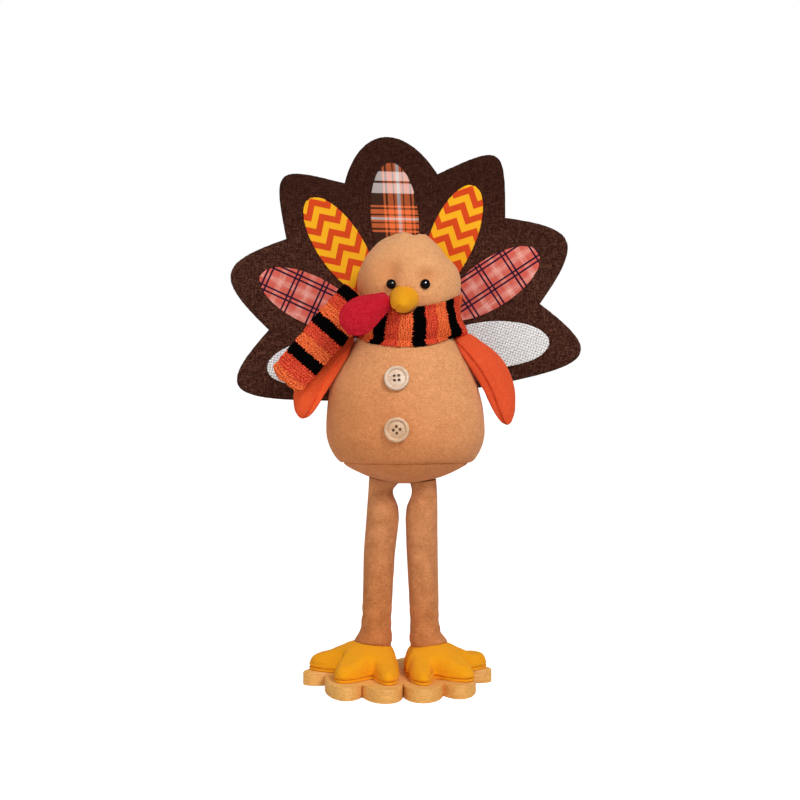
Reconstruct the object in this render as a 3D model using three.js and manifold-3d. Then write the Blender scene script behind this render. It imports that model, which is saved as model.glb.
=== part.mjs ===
// Standing turkey figure: stuffed fleece body and head on two legs, a felt tail fan with seven
// fabric feathers, a knitted scarf, and a scalloped wooden board.
// Millimetres, +Z up, the face looks along -Y, the origin is the centre of the board's underside.

import * as THREE from "three";
import { mergeVertices } from "three/addons/utils/BufferGeometryUtils.js";
import Module from "manifold-3d";

const kernel = await Module();
kernel.setup();

// Fits and sheet thicknesses
const CLEARANCE = 0.3; // gap left at every seat
const FLEECE = 1.6; // body, head and bottom panel cloth
const FELT = 2; // fan layers and soles
const CARD = 1.5; // stiffener inside the fan
const PATCH = 0.8; // feather fabric

// Wooden board
const BOARD_THICKNESS = 11;
const STANCE_TURN = 4.5; // degrees, the board and the feet turned under the body
const BOARD_SIDE_MARGIN = 6; // side lobes past the outer toes
const BOARD_FRONT_MARGIN = 17; // front lobes past the front toes
const BOARD_EDGE = 0.8; // eased edge
const BOARD_LOBES = [11, 44, 98, 155]; // directions of the lobe tips, degrees from straight ahead
const BOARD_NOTCHES = [0, 33, 90, 128, 180]; // directions of the notches between them
const BOARD_NOTCH_DEPTH = 0.24; // notch depth as a share of the board's reach
const BOARD_CENTRE_NOTCH_DEPTH = 0.35; // the front and back notches

// Legs
const LEGS_SHIFT = 2.1; // middle of the legs from the middle of the board
const LEG_SPACING = 36;
const LEG_LENGTH = 131; // from the foot to the lowest point of the body
const LEG_WIDTH = 27;
const ANKLE_WIDTH = 24;
const ANKLE_FLARE = 28; // sleeve hem on the foot
const LEG_TOP_WIDTH = 20;
const LEFT_LEG_LEAN = 6; // how far the sleeve leans in from hem to top
const RIGHT_LEG_LEAN = 0.5;
const DOWEL_DIAMETER = 8;
const DOWEL_IN_BOARD = 5;
const DOWEL_IN_BODY = 55;
const SCREW_DIAMETER = 3.5;
const SCREW_HEAD = 7.5;
const SCREW_LENGTH = 30;

// Feet
const FOOT_HEIGHT = 23; // stuffed upper, above its sole
const TOE_EDGE = 8; // thickness at the rim
const TOE_REACH = 57; // ankle centre to toe tip
const WEB_REACH = 36;
const HEEL_REACH = 22;
const INSTEP_REACH = 16; // side toward the other foot
const TOE_DIRECTIONS = [-6.5, 37, 107]; // degrees outward from straight ahead
const WEB_DIRECTIONS = [11, 72];
const HEEL_DIRECTIONS = [148, 205];
const INSTEP_DIRECTIONS = [262, 326];

// Body
const BODY_SHIFT = 3.9; // body axis from the middle of the legs
const BODY_WIDTH = 129;
const BODY_DEPTH = 106;
const BODY_HEIGHT = 128; // lowest point to the neck
const BODY_SEAM_WIDTH = 103;
const BODY_SEAM_HEIGHT = 17; // seam of the bottom panel above the lowest point
const BODY_WIDEST_HEIGHT = 43;
const NECK_WIDTH = 52;

// Head and face
const HEAD_SHIFT = 3; // head axis from the body axis
const HEAD_WIDTH = 85;
const HEAD_DEPTH = 82;
const HEAD_HEIGHT = 75;
const HEAD_WIDEST_HEIGHT = 35;
const HEAD_PRESS = 1.5; // how far the back is pressed flat by the fan
const CROWN_WIDTH = 26; // gathered top
const CROWN_DIMPLE = 2.5;
const EYE_DIAMETER = 8;
const EYE_DOME = 3.4;
const EYE_SPACING = 27;
const EYE_SIDE = -1; // middle of the eyes from the head axis
const EYE_HEIGHT = 34; // above the neck
const EYE_STEM_DIAMETER = 3;
const EYE_STEM_LENGTH = 9;
const BEAK_WIDTH = 22;
const BEAK_LENGTH = 22;
const BEAK_SIDE = -4; // beak axis from the head axis
const BEAK_HEIGHT = 22;
const BEAK_TURN = 10; // degrees to the figure's right
const BEAK_DROOP = 13;

// Snood: the red drop at the beak's side
const SNOOD_LENGTH = 47;
const SNOOD_WIDTH = 28;
const SNOOD_THICKNESS = 12;
const SNOOD_ROOT_WIDTH = 12;
const SNOOD_SLANT = 50; // degrees from hanging straight down
const SNOOD_SIDE = -20; // root from the head axis
const SNOOD_HEIGHT = 24; // root above the neck
const SNOOD_OFF_SCARF = 0.6; // space behind it

// Scarf
const SCARF_WIDTH = 36;
const SCARF_THICKNESS = 6;
const WRAP_HEIGHT = 36;
const WRAP_OVERHANG = 2; // how far the wrap stands out past the head
const WRAP_ABOVE_NECK = 6; // middle of the wrap
const WRAP_TILT = 10; // degrees, the front lower
const TAIL_LENGTH = 64; // swinging part, from the fold line down
const TAIL_SLANT = 41; // degrees from hanging straight down
const TAIL_LEAD = 12; // fixed part, above the fold line
const TAIL_SIDE = 10; // fold line out past the wrap's widest point
const TAIL_ABOVE_NECK = 9; // fold line
const TAIL_OFF_WING = 1.5; // space between the tail and the left wing

// Wings
const RIGHT_WING_LENGTH = 80;
const LEFT_WING_LENGTH = 76;
const WING_WIDTH = 35;
const WING_THICKNESS = 15;
const WING_ROOT_WIDTH = 11;
const WING_TURN = 40; // degrees, the outer face turned to the side
const WING_BOW = 6.5; // how far the middle bows outward
const RIGHT_WING_SLANT = 30; // degrees from hanging straight down
const LEFT_WING_SLANT = 33;
const WING_BELOW_NECK = 14.6; // root
const WING_FORWARD = 5;

// Buttons
const BUTTON_DIAMETER = 20;
const BUTTON_THICKNESS = 4;
const BUTTON_RIM = 2.8;
const BUTTON_RECESS = 1.1;
const BUTTON_HOLE = 2.1;
const BUTTON_HOLE_SPACING = 3.7;
const BUTTON_SIDE = -7; // from the body axis
const UPPER_BUTTON_HEIGHT = 87; // above the body's lowest point
const LOWER_BUTTON_HEIGHT = 47;

// Tail fan and feathers, as directions from the fan's own upright and distances from its centre
const FAN_SHIFT = 1.5; // fan centre from the body axis
const FAN_BELOW_NECK = 17.5;
const FAN_TILT = 5.5; // degrees
const FAN_PRESS = 6; // how far it is pressed into the back
const PRESS_RUN = 14; // height over which the back bulges out again under the fan
const FAN_LOBES = [0, 30.5, 61.8, 96.4];
const FAN_LOBE_REACH = [178, 177, 161.5, 147];
const FAN_LOBE_SHARPNESS = [0.26, 0.48, 0.42, 0.4];
const FAN_NOTCHES = [15.4, 42.6, 77.3];
const FAN_NOTCH_REACH = [148, 137, 118];
const FAN_CORNER = [104, -34.5]; // where the lowest lobe runs into the lower edge
const FAN_LOWER_EDGE = 42; // lower edge below the centre
const STIFFENER_BORDER = 5;
const FEATHER_LENGTH = 95;
const FEATHER_FULLNESS = 0.03; // how much fuller the outer half is
const FEATHERS = [0, 28, 58.3, 93.4]; // directions
const FEATHER_WIDTHS = [40, 38.5, 40, 39];
const FEATHER_BORDERS = [22, 27, 23.5, 27]; // felt showing past each tip

// Facets
const ROUND_SIDES = 28;
const LIMB_SIDES = 16;
const SMALL_SIDES = 16;
const FOOT_SIDES = 48;

// Heights and places that follow from the sizes
const boardTop = BOARD_THICKNESS;
const soleBottom = boardTop + CLEARANCE;
const footBottom = soleBottom + FELT + CLEARANCE;
const footTop = footBottom + FOOT_HEIGHT;
const bodyBottom = footTop + LEG_LENGTH;
const seamZ = bodyBottom + BODY_SEAM_HEIGHT;
const neckZ = bodyBottom + BODY_HEIGHT;
const bodyX = LEGS_SHIFT + BODY_SHIFT;
const bodyFlatness = BODY_DEPTH / BODY_WIDTH;
const headX = bodyX + HEAD_SHIFT;
const headFlatness = HEAD_DEPTH / HEAD_WIDTH;
const headBottom = neckZ + CLEARANCE;
const fanX = bodyX + FAN_SHIFT;
const fanZ = neckZ - FAN_BELOW_NECK;
const dowelRadius = DOWEL_DIAMETER / 2;
const dowelBottom = boardTop - DOWEL_IN_BOARD + CLEARANCE;
const dowelTop = bodyBottom + DOWEL_IN_BODY;

// Finishes
const finish = {
  board: material(0xcf9a5e, 0.6),
  dowel: material(0xd9b98a, 0.7),
  steel: material(0xb8bcc0, 0.35, 1),
  fleece: material(0xe2a06a, 0.95),
  filling: material(0xf4f1ea, 1),
  yellowFelt: material(0xf4ab24, 0.95),
  orangeFelt: material(0xe75f2f, 0.95),
  redFelt: material(0xbe1f2d, 0.95),
  brownFelt: material(0x3e261d, 0.95),
  knit: material(0xd6502c, 0.95),
  plaid: material(0xb0683c, 0.9),
  zigzag: material(0xf0942a, 0.9),
  check: material(0xd06a6c, 0.9),
  weave: material(0xd8d4cc, 0.9),
  card: material(0xa88a62, 0.9),
  button: material(0xdfc6a6, 0.55),
  bead: material(0x080808, 0.15),
};

function material(color, roughness, metalness = 0) {
  return new THREE.MeshStandardMaterial({ color, roughness, metalness });
}

function radians(degrees) {
  return (degrees * Math.PI) / 180;
}

// A point in plan, its direction in degrees from the first axis given toward the second
function polar(direction, reach) {
  return new THREE.Vector2(reach * Math.sin(radians(direction)), reach * Math.cos(radians(direction)));
}

// Solids and cuts

function solidOf(geometry) {
  const bare = new THREE.BufferGeometry();
  bare.setAttribute("position", geometry.getAttribute("position").clone());
  if (geometry.index) {
    bare.setIndex(geometry.index.clone());
  }
  const joined = mergeVertices(bare, 1e-4);
  const mesh = new kernel.Mesh({
    numProp: 3,
    vertProperties: new Float32Array(joined.getAttribute("position").array),
    triVerts: new Uint32Array(joined.index.array),
  });
  const solid = new kernel.Manifold(mesh);
  if (solid.volume() > 0) {
    return solid;
  }
  const turned = new Uint32Array(joined.index.array);
  for (let corner = 0; corner < turned.length; corner += 3) {
    [turned[corner], turned[corner + 1]] = [turned[corner + 1], turned[corner]];
  }
  mesh.triVerts = turned;
  return new kernel.Manifold(mesh);
}

function geometryOf(solid) {
  const mesh = solid.getMesh();
  const geometry = new THREE.BufferGeometry();
  geometry.setAttribute("position", new THREE.BufferAttribute(new Float32Array(mesh.vertProperties), 3));
  geometry.setIndex(new THREE.BufferAttribute(new Uint32Array(mesh.triVerts), 1));
  geometry.computeVertexNormals();
  return geometry;
}

function cut(geometry, ...tools) {
  let solid = solidOf(geometry);
  for (const tool of tools) {
    solid = solid.subtract(solidOf(tool));
  }
  return geometryOf(solid);
}

function join(first, second) {
  return geometryOf(solidOf(first).add(solidOf(second)));
}

// A solid of revolution about Z from [radius, height] points that start and end on the axis
function turn(points, sides = ROUND_SIDES) {
  const profile = points.map(([radius, height]) => new THREE.Vector2(radius, height));
  const geometry = new THREE.LatheGeometry(profile, sides);
  geometry.rotateX(Math.PI / 2);
  return geometryOf(solidOf(geometry));
}

function rod(radius, bottom, top, x = 0, y = 0, sides = SMALL_SIDES) {
  const points = [[0, bottom], [radius, bottom], [radius, top], [0, top]];
  return turn(points, sides).translate(x, y, 0);
}

// A closed skin over rings of points, one end ring to the other
function skin(rings) {
  const sides = rings[0].length;
  const positions = [];
  const index = [];
  for (const ring of rings) {
    for (const point of ring) {
      positions.push(point.x, point.y, point.z);
    }
  }
  for (let ring = 0; ring + 1 < rings.length; ring += 1) {
    for (let side = 0; side < sides; side += 1) {
      const here = ring * sides + side;
      const beside = ring * sides + ((side + 1) % sides);
      index.push(here, beside, beside + sides, here, beside + sides, here + sides);
    }
  }
  for (const end of [0, rings.length - 1]) {
    const middle = new THREE.Vector3();
    rings[end].forEach((point) => middle.addScaledVector(point, 1 / sides));
    positions.push(middle.x, middle.y, middle.z);
    const apex = positions.length / 3 - 1;
    for (let side = 0; side < sides; side += 1) {
      const here = end * sides + side;
      const beside = end * sides + ((side + 1) % sides);
      index.push(...(end === 0 ? [apex, beside, here] : [apex, here, beside]));
    }
  }
  const geometry = new THREE.BufferGeometry();
  geometry.setAttribute("position", new THREE.BufferAttribute(new Float32Array(positions), 3));
  geometry.setIndex(index);
  return geometryOf(solidOf(geometry));
}

// A stuffed limb along -Z: half widths in X and half thicknesses in Y at shares of its length,
// bowed toward +X, with its sewn edges drawn a little sharp
function stuffedLimb({ length, width, thickness, bow = 0, stations = 13, sides = LIMB_SIDES }) {
  const rings = [];
  for (let station = 0; station < stations; station += 1) {
    const share = 0.5 - 0.5 * Math.cos((Math.PI * (station + 0.35)) / (stations - 0.3));
    const middle = bow * Math.sin(Math.PI * share);
    const ring = [];
    for (let side = 0; side < sides; side += 1) {
      const angle = (2 * Math.PI * side) / sides;
      const across = Math.cos(angle);
      const through = Math.sin(angle) * Math.abs(Math.sin(angle)) ** 0.25;
      ring.push(new THREE.Vector3(middle + width(share) * across, thickness(share) * through, -length * share));
    }
    rings.push(ring);
  }
  return skin(rings);
}

// Half size along a drop that swells from a narrow root to a full outer part
function dropSize(root, full, fullest) {
  return (share) => {
    const swell = share < fullest ? Math.sin((Math.PI * share) / (2 * fullest)) ** 1.3 : 1;
    const closing = share < fullest ? 1 : Math.sqrt(1 - ((share - fullest) / (1 - fullest)) ** 2);
    const opening = Math.min(1, Math.sqrt(1 - Math.max(0, 1 - share / 0.06) ** 2));
    return (root + (full - root) * swell) * closing * opening;
  };
}

// A panel cut from sheet: its front face at y = 0, its back at y = thickness
function panel(shape, thickness, curveSegments) {
  const geometry = new THREE.ExtrudeGeometry(shape, { depth: thickness, bevelEnabled: false, curveSegments });
  geometry.rotateX(Math.PI / 2);
  geometry.translate(0, thickness, 0);
  return geometryOf(solidOf(geometry));
}

// Adds one rounded lobe that leaves the shape's last point, passes the tip and ends at the notch
function addLobe(shape, start, tip, notch, sharpness) {
  const chord = notch.clone().sub(start);
  const lift = tip.clone().sub(start).addScaledVector(chord, -0.5).multiplyScalar(4 / 3);
  const first = start.clone().add(lift).addScaledVector(chord, sharpness);
  const second = notch.clone().add(lift).addScaledVector(chord, -sharpness);
  shape.bezierCurveTo(first.x, first.y, second.x, second.y, notch.x, notch.y);
}

// Profiles of the stuffed forms, as [radius, height] points from low to high

function curvePoints(divisions, ...curves) {
  const path = new THREE.Path();
  path.moveTo(...curves[0][0]);
  for (const [, first, second, end] of curves) {
    path.bezierCurveTo(...first, ...second, ...end);
  }
  return path.getPoints(divisions).map((point) => [point.x, point.y]);
}

// Moves each point of a profile square to the profile; a positive distance goes outward
function swell(points, distance) {
  return points.map((point, place) => {
    const before = points[Math.max(0, place - 1)];
    const after = points[Math.min(points.length - 1, place + 1)];
    const run = new THREE.Vector2(after[0] - before[0], after[1] - before[1]).normalize();
    const radius = point[0] === 0 ? 0 : Math.max(0, point[0] + run.y * distance);
    return [radius, point[1] - run.x * distance];
  });
}

// Every second point, with both ends kept: enough for what doesn't show
function thinned(points) {
  return points.filter((point, place) => place % 2 === 0 || place === points.length - 1);
}

function halfWidthAt(points, height) {
  let above = points.findIndex((point) => point[1] >= height);
  if (above < 1) {
    above = height < points[0][1] ? 1 : points.length - 1;
  }
  const [low, high] = [points[above - 1], points[above]];
  const share = THREE.MathUtils.clamp((height - low[1]) / (high[1] - low[1] || 1), 0, 1);
  return low[0] + (high[0] - low[0]) * share;
}

const seamRadius = BODY_SEAM_WIDTH / 2;
const bodyRadius = BODY_WIDTH / 2;
const neckRadius = NECK_WIDTH / 2;
const widestZ = bodyBottom + BODY_WIDEST_HEIGHT;
const shoulderRise = neckZ - widestZ;
const bodyProfile = curvePoints(
  6,
  [
    [seamRadius, seamZ],
    [seamRadius + 0.5 * (bodyRadius - seamRadius), seamZ + 0.14 * (widestZ - seamZ)],
    [bodyRadius, widestZ - 0.45 * (widestZ - seamZ)],
    [bodyRadius, widestZ],
  ],
  [
    [bodyRadius, widestZ],
    [bodyRadius, widestZ + 0.41 * shoulderRise],
    [neckRadius + 0.52 * (bodyRadius - neckRadius), neckZ - 0.07 * shoulderRise],
    [neckRadius, neckZ],
  ],
);
const panelProfile = curvePoints(6, [
  [0, bodyBottom],
  [0.4 * seamRadius, bodyBottom],
  [0.8 * seamRadius, seamZ - 0.55 * BODY_SEAM_HEIGHT],
  [seamRadius, seamZ - CLEARANCE],
]);

const headRadius = HEAD_WIDTH / 2;
const crownRadius = CROWN_WIDTH / 2;
const crownZ = headBottom + HEAD_HEIGHT;
const headWidestZ = headBottom + HEAD_WIDEST_HEIGHT;
const headProfile = curvePoints(
  6,
  [
    [neckRadius, headBottom],
    [neckRadius + 0.6 * (headRadius - neckRadius), headBottom + 0.05 * HEAD_WIDEST_HEIGHT],
    [headRadius, headWidestZ - 0.5 * HEAD_WIDEST_HEIGHT],
    [headRadius, headWidestZ],
  ],
  [
    [headRadius, headWidestZ],
    [headRadius, headWidestZ + 0.5 * (crownZ - headWidestZ)],
    [crownRadius + 0.5 * (headRadius - crownRadius), crownZ - 0.06 * HEAD_HEIGHT],
    [crownRadius, crownZ],
  ],
);

// The back of a stuffed form pressed flat against the fan, from one height up
function pressBack(geometry, limit, fromZ) {
  const position = geometry.getAttribute("position");
  for (let corner = 0; corner < position.count; corner += 1) {
    const y = position.getY(corner);
    const share = THREE.MathUtils.smoothstep(position.getZ(corner), fromZ - PRESS_RUN, fromZ);
    if (y > limit) {
      position.setY(corner, y + (limit - y) * share);
    }
  }
  position.needsUpdate = true;
  geometry.computeVertexNormals();
  return geometry;
}

// Lowest point of the tilted fan behind the body, and the plane of its front face
const fanLowZ =
  fanZ + FAN_CORNER[1] * Math.cos(radians(FAN_TILT)) - FAN_CORNER[0] * Math.sin(radians(FAN_TILT));
const fanY = bodyFlatness * halfWidthAt(bodyProfile, fanLowZ) - FAN_PRESS;
const patchY = fanY - CLEARANCE - PATCH;
const headY = patchY - CLEARANCE - HEAD_DEPTH / 2 + HEAD_PRESS;

function bodyForm(points, inset) {
  const form = turn(points).scale(1, bodyFlatness, 1);
  return pressBack(form, fanY - CLEARANCE - inset, fanLowZ - PRESS_RUN).translate(bodyX, 0, 0);
}

function headForm(points, inset) {
  const form = turn(points).scale(1, headFlatness, 1);
  return pressBack(form, patchY - CLEARANCE - inset - headY, 0).translate(headX, headY, 0);
}

// Front surface of a stuffed form at a sideways distance from its axis
function frontY(points, flatness, side, height) {
  const halfWidth = halfWidthAt(points, height);
  return -flatness * Math.sqrt(Math.max(0, halfWidth ** 2 - side ** 2));
}

// Outward direction there
function frontNormal(points, flatness, side, height) {
  const step = 1;
  const acrossSlope = frontY(points, flatness, side + step, height) - frontY(points, flatness, side - step, height);
  const upSlope = frontY(points, flatness, side, height + step) - frontY(points, flatness, side, height - step);
  return new THREE.Vector3(acrossSlope / (2 * step), -1, upSlope / (2 * step)).normalize();
}

// Envelopes used to shape what is sewn against the body and head
const bodyEnvelope = bodyForm(
  [
    ...swell(panelProfile, CLEARANCE).slice(0, -1),
    ...swell(bodyProfile, CLEARANCE),
    [0, neckZ + CLEARANCE],
  ],
  -CLEARANCE,
);
const headEnvelope = headForm(
  [[0, headBottom - CLEARANCE], ...swell(headProfile, CLEARANCE), [0, crownZ + CLEARANCE]],
  -CLEARANCE,
);

// Assembly

const figure = new THREE.Group();
figure.name = "turkey_figure";

function piece(name, geometry, look, parent = figure) {
  const mesh = new THREE.Mesh(geometry, look);
  mesh.name = name;
  parent.add(mesh);
  return mesh;
}

function place(name, position, parent = figure) {
  const group = new THREE.Group();
  group.name = name;
  group.position.copy(position);
  parent.add(group);
  return group;
}

const sides = [
  { name: "left", sign: -1, slant: LEFT_WING_SLANT, wing: LEFT_WING_LENGTH, lean: LEFT_LEG_LEAN },
  { name: "right", sign: 1, slant: RIGHT_WING_SLANT, wing: RIGHT_WING_LENGTH, lean: RIGHT_LEG_LEAN },
];

// Sideways place of each leg
function legX(sign) {
  return LEGS_SHIFT + (sign * LEG_SPACING) / 2;
}

// Feet: reach of the outline in each direction, eased between toes, webs and heel
const footStops = [
  [TOE_DIRECTIONS[0], TOE_REACH],
  [WEB_DIRECTIONS[0], WEB_REACH],
  [TOE_DIRECTIONS[1], TOE_REACH],
  [WEB_DIRECTIONS[1], WEB_REACH],
  [TOE_DIRECTIONS[2], TOE_REACH],
  [HEEL_DIRECTIONS[0], HEEL_REACH],
  [HEEL_DIRECTIONS[1], HEEL_REACH],
  [INSTEP_DIRECTIONS[0], INSTEP_REACH],
  [INSTEP_DIRECTIONS[1], INSTEP_REACH],
  [TOE_DIRECTIONS[0] + 360, TOE_REACH],
];

function footReach(direction) {
  const turned = THREE.MathUtils.euclideanModulo(direction - TOE_DIRECTIONS[0], 360) + TOE_DIRECTIONS[0];
  const after = Math.max(1, footStops.findIndex((stop) => stop[0] >= turned));
  const [from, to] = [footStops[after - 1], footStops[after]];
  const share = (turned - from[0]) / (to[0] - from[0]);
  return from[1] + (to[1] - from[1]) * (0.5 - 0.5 * Math.cos(Math.PI * share));
}

function footRing(sign, share, height, inset = 0) {
  const ring = [];
  for (let side = 0; side < FOOT_SIDES; side += 1) {
    const direction = (360 * side) / FOOT_SIDES;
    const point = polar(direction, share * (footReach(direction) - inset));
    ring.push(new THREE.Vector3(sign * point.x, -point.y, height));
  }
  return ring;
}

function footUpper(sign) {
  const rings = [footRing(sign, 1, footBottom, 1.5), footRing(sign, 1, footBottom + 0.45 * TOE_EDGE)];
  for (const share of [0.97, 0.88, 0.74, 0.58, 0.42]) {
    const dome = Math.cos((Math.PI * share) / 2);
    rings.push(footRing(sign, share, footBottom + TOE_EDGE + (FOOT_HEIGHT - TOE_EDGE) * dome ** 0.9));
  }
  const land = ANKLE_FLARE / 2;
  const round = [];
  for (let side = 0; side < FOOT_SIDES; side += 1) {
    const point = polar((360 * side) / FOOT_SIDES, Math.min(land, 0.36 * INSTEP_REACH));
    round.push(new THREE.Vector3(sign * point.x, -point.y, footTop));
  }
  rings.push(round);
  return skin(rings);
}

for (const { name, sign } of sides) {
  const bore = rod(dowelRadius + CLEARANCE, soleBottom - 1, footTop + 1);
  const ankle = place(`${name}_foot_place`, new THREE.Vector3(legX(sign), 0, 0));
  ankle.rotation.z = radians(STANCE_TURN);
  piece(`${name}_foot`, cut(footUpper(sign), bore), finish.yellowFelt, ankle);
  const sole = skin([footRing(sign, 1, soleBottom, 1), footRing(sign, 1, soleBottom + FELT, 1)]);
  piece(`${name}_foot_sole`, cut(sole, bore), finish.yellowFelt, ankle);
}

// Wooden board, its reach set by the toes it carries
const outerToe = polar(TOE_DIRECTIONS[2], TOE_REACH);
const frontToe = polar(TOE_DIRECTIONS[0], TOE_REACH);
const boardHalfWidth = LEG_SPACING / 2 + outerToe.x + BOARD_SIDE_MARGIN;
const boardHalfDepth = frontToe.y + BOARD_FRONT_MARGIN;

function boardPoint(direction, share) {
  const point = polar(direction, share);
  return new THREE.Vector2(point.x * boardHalfWidth, -point.y * boardHalfDepth);
}

function boardShape() {
  const last = BOARD_NOTCHES.length - 1;
  const notch = (place) => {
    const depth = place === 0 || place === last ? BOARD_CENTRE_NOTCH_DEPTH : BOARD_NOTCH_DEPTH;
    return boardPoint(BOARD_NOTCHES[place], 1 - depth);
  };
  const mirrored = (point) => new THREE.Vector2(-point.x, point.y);
  const shape = new THREE.Shape();
  shape.moveTo(notch(0).x, notch(0).y);
  BOARD_LOBES.forEach((direction, lobe) => {
    addLobe(shape, notch(lobe), boardPoint(direction, 1), notch(lobe + 1), 0.12);
  });
  [...BOARD_LOBES].reverse().forEach((direction, lobe) => {
    const [from, to] = [notch(last - lobe), notch(last - lobe - 1)];
    addLobe(shape, mirrored(from), mirrored(boardPoint(direction, 1)), mirrored(to), 0.12);
  });
  return shape;
}

const boardBlank = new THREE.ExtrudeGeometry(boardShape(), {
  depth: BOARD_THICKNESS - 2 * BOARD_EDGE,
  bevelThickness: BOARD_EDGE,
  bevelSize: BOARD_EDGE,
  bevelOffset: -BOARD_EDGE,
  bevelSegments: 1,
  curveSegments: 7,
})
  .translate(0, 0, BOARD_EDGE)
  .rotateZ(radians(STANCE_TURN));

const screwRadius = SCREW_DIAMETER / 2;
const headRise = (SCREW_HEAD - SCREW_DIAMETER) / 2; // 90 degree countersink
const screwRecess = 0.8;

// A hole for the screw, its countersink and the dowel's socket
function boardHole() {
  const wide = SCREW_HEAD / 2 + CLEARANCE;
  const narrow = screwRadius + CLEARANCE;
  const socket = dowelRadius + CLEARANCE;
  const socketFloor = boardTop - DOWEL_IN_BOARD;
  return turn(
    [
      [0, -1],
      [wide, -1],
      [wide, screwRecess],
      [narrow, screwRecess + (wide - narrow)],
      [narrow, socketFloor],
      [socket, socketFloor],
      [socket, boardTop + 1],
      [0, boardTop + 1],
    ],
    SMALL_SIDES,
  );
}

const boardHoles = sides.map(({ sign }) => boardHole().translate(legX(sign), 0, 0));
piece("base_board", cut(boardBlank, ...boardHoles), finish.board);

for (const { name, sign } of sides) {
  const screwTip = screwRecess + SCREW_LENGTH;
  const screw = turn(
    [
      [0, screwRecess],
      [SCREW_HEAD / 2, screwRecess],
      [screwRadius, screwRecess + headRise],
      [screwRadius, screwTip - 2 * SCREW_DIAMETER],
      [0, screwTip],
    ],
    SMALL_SIDES,
  ).translate(legX(sign), 0, 0);
  piece(`${name}_leg_screw`, screw, finish.steel);
  const pilotTop = screwTip + CLEARANCE;
  const dowel = cut(
    rod(dowelRadius, dowelBottom, dowelTop, legX(sign), 0),
    rod(screwRadius + CLEARANCE, dowelBottom - 1, pilotTop, legX(sign), 0),
  );
  piece(`${name}_leg_dowel`, dowel, finish.dowel);
}

// Leg sleeves, cut to the underside of the body
function legSleeve(sign, lean) {
  const bottom = footTop + CLEARANCE;
  const length = seamZ - bottom;
  const stops = [
    [0, ANKLE_FLARE],
    [0.05, ANKLE_FLARE - 0.2 * (ANKLE_FLARE - ANKLE_WIDTH)],
    [0.13, ANKLE_WIDTH],
    [0.45, 0.5 * (ANKLE_WIDTH + LEG_WIDTH)],
    [0.72, LEG_WIDTH],
    [0.78, 0.8 * LEG_WIDTH + 0.2 * LEG_TOP_WIDTH],
    [0.84, 0.2 * LEG_WIDTH + 0.8 * LEG_TOP_WIDTH],
    [1, LEG_TOP_WIDTH],
  ];
  const rings = stops.map(([share, width]) => {
    const narrowing = share > 0.5 ? 0.5 * (LEG_WIDTH - width) : 0; // all on the inner side
    const middle = sign * (lean * (0.42 - share) + narrowing);
    const ring = [];
    for (let side = 0; side < LIMB_SIDES; side += 1) {
      const angle = (2 * Math.PI * side) / LIMB_SIDES;
      const across = middle + 0.5 * width * Math.cos(angle);
      ring.push(new THREE.Vector3(across, 0.5 * width * Math.sin(angle), bottom + length * share));
    }
    return ring;
  });
  return skin(rings).translate(legX(sign), 0, 0);
}

for (const { name, sign, lean } of sides) {
  const bore = rod(dowelRadius + CLEARANCE, footTop - 1, seamZ + 1, legX(sign), 0);
  piece(`${name}_leg_sleeve`, cut(legSleeve(sign, lean), bodyEnvelope, bore), finish.fleece);
}

// Body: cover, bottom panel and filling, each opened for the dowels
const legBores = sides.map(({ sign }) => {
  return rod(dowelRadius + CLEARANCE, bodyBottom - FLEECE, dowelTop + CLEARANCE, legX(sign), 0);
});

function bodyInside(inset) {
  const wall = thinned(swell(bodyProfile, -inset));
  const [rim, top] = [wall[0], wall[wall.length - 1]];
  return bodyForm([[0, seamZ - 1], [rim[0], seamZ - 1], ...wall, [0, top[1]]], inset);
}

function panelInside(inset) {
  const floor = thinned(swell(panelProfile, -inset));
  const rim = floor[floor.length - 1];
  return bodyForm([...floor, [rim[0], seamZ + inset], [0, seamZ + inset]], inset);
}

const bodyOutside = bodyForm([[0, seamZ], ...bodyProfile, [0, neckZ]], 0);
piece("body_cover", cut(bodyOutside, bodyInside(FLEECE)), finish.fleece);

const panelOutside = bodyForm([...panelProfile, [0, seamZ - CLEARANCE]], 0);
piece("body_bottom_panel", cut(panelOutside, panelInside(FLEECE), ...legBores), finish.fleece);

const fillingInset = FLEECE + CLEARANCE;
const fillingFloor = thinned(swell(panelProfile, -fillingInset)).slice(0, -1);
const fillingWall = thinned(swell(bodyProfile, -fillingInset)).slice(1);
const bodyFilling = bodyForm(
  [...fillingFloor, ...fillingWall, [0, fillingWall[fillingWall.length - 1][1]]],
  fillingInset,
);
piece("body_filling", cut(bodyFilling, ...legBores), finish.filling);

// Head: cover open at the neck, and filling, both pierced for the eye stems
function headPoints(inset, bottom) {
  const wall = inset > 0 ? thinned(swell(headProfile, -inset)) : headProfile;
  const opening = neckRadius - inset;
  const crown = wall[wall.length - 1];
  return [
    [0, bottom],
    [opening, bottom],
    ...(inset > 0 ? [[opening, wall[0][1]]] : []),
    ...wall.slice(1),
    [0.5 * crown[0], crown[1] - 0.3 * CROWN_DIMPLE],
    [0, crown[1] - CROWN_DIMPLE],
  ];
}

function aimed(geometry, position, direction) {
  const up = new THREE.Vector3(0, 0, 1);
  geometry.applyQuaternion(new THREE.Quaternion().setFromUnitVectors(up, direction));
  return geometry.translate(position.x, position.y, position.z);
}

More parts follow.
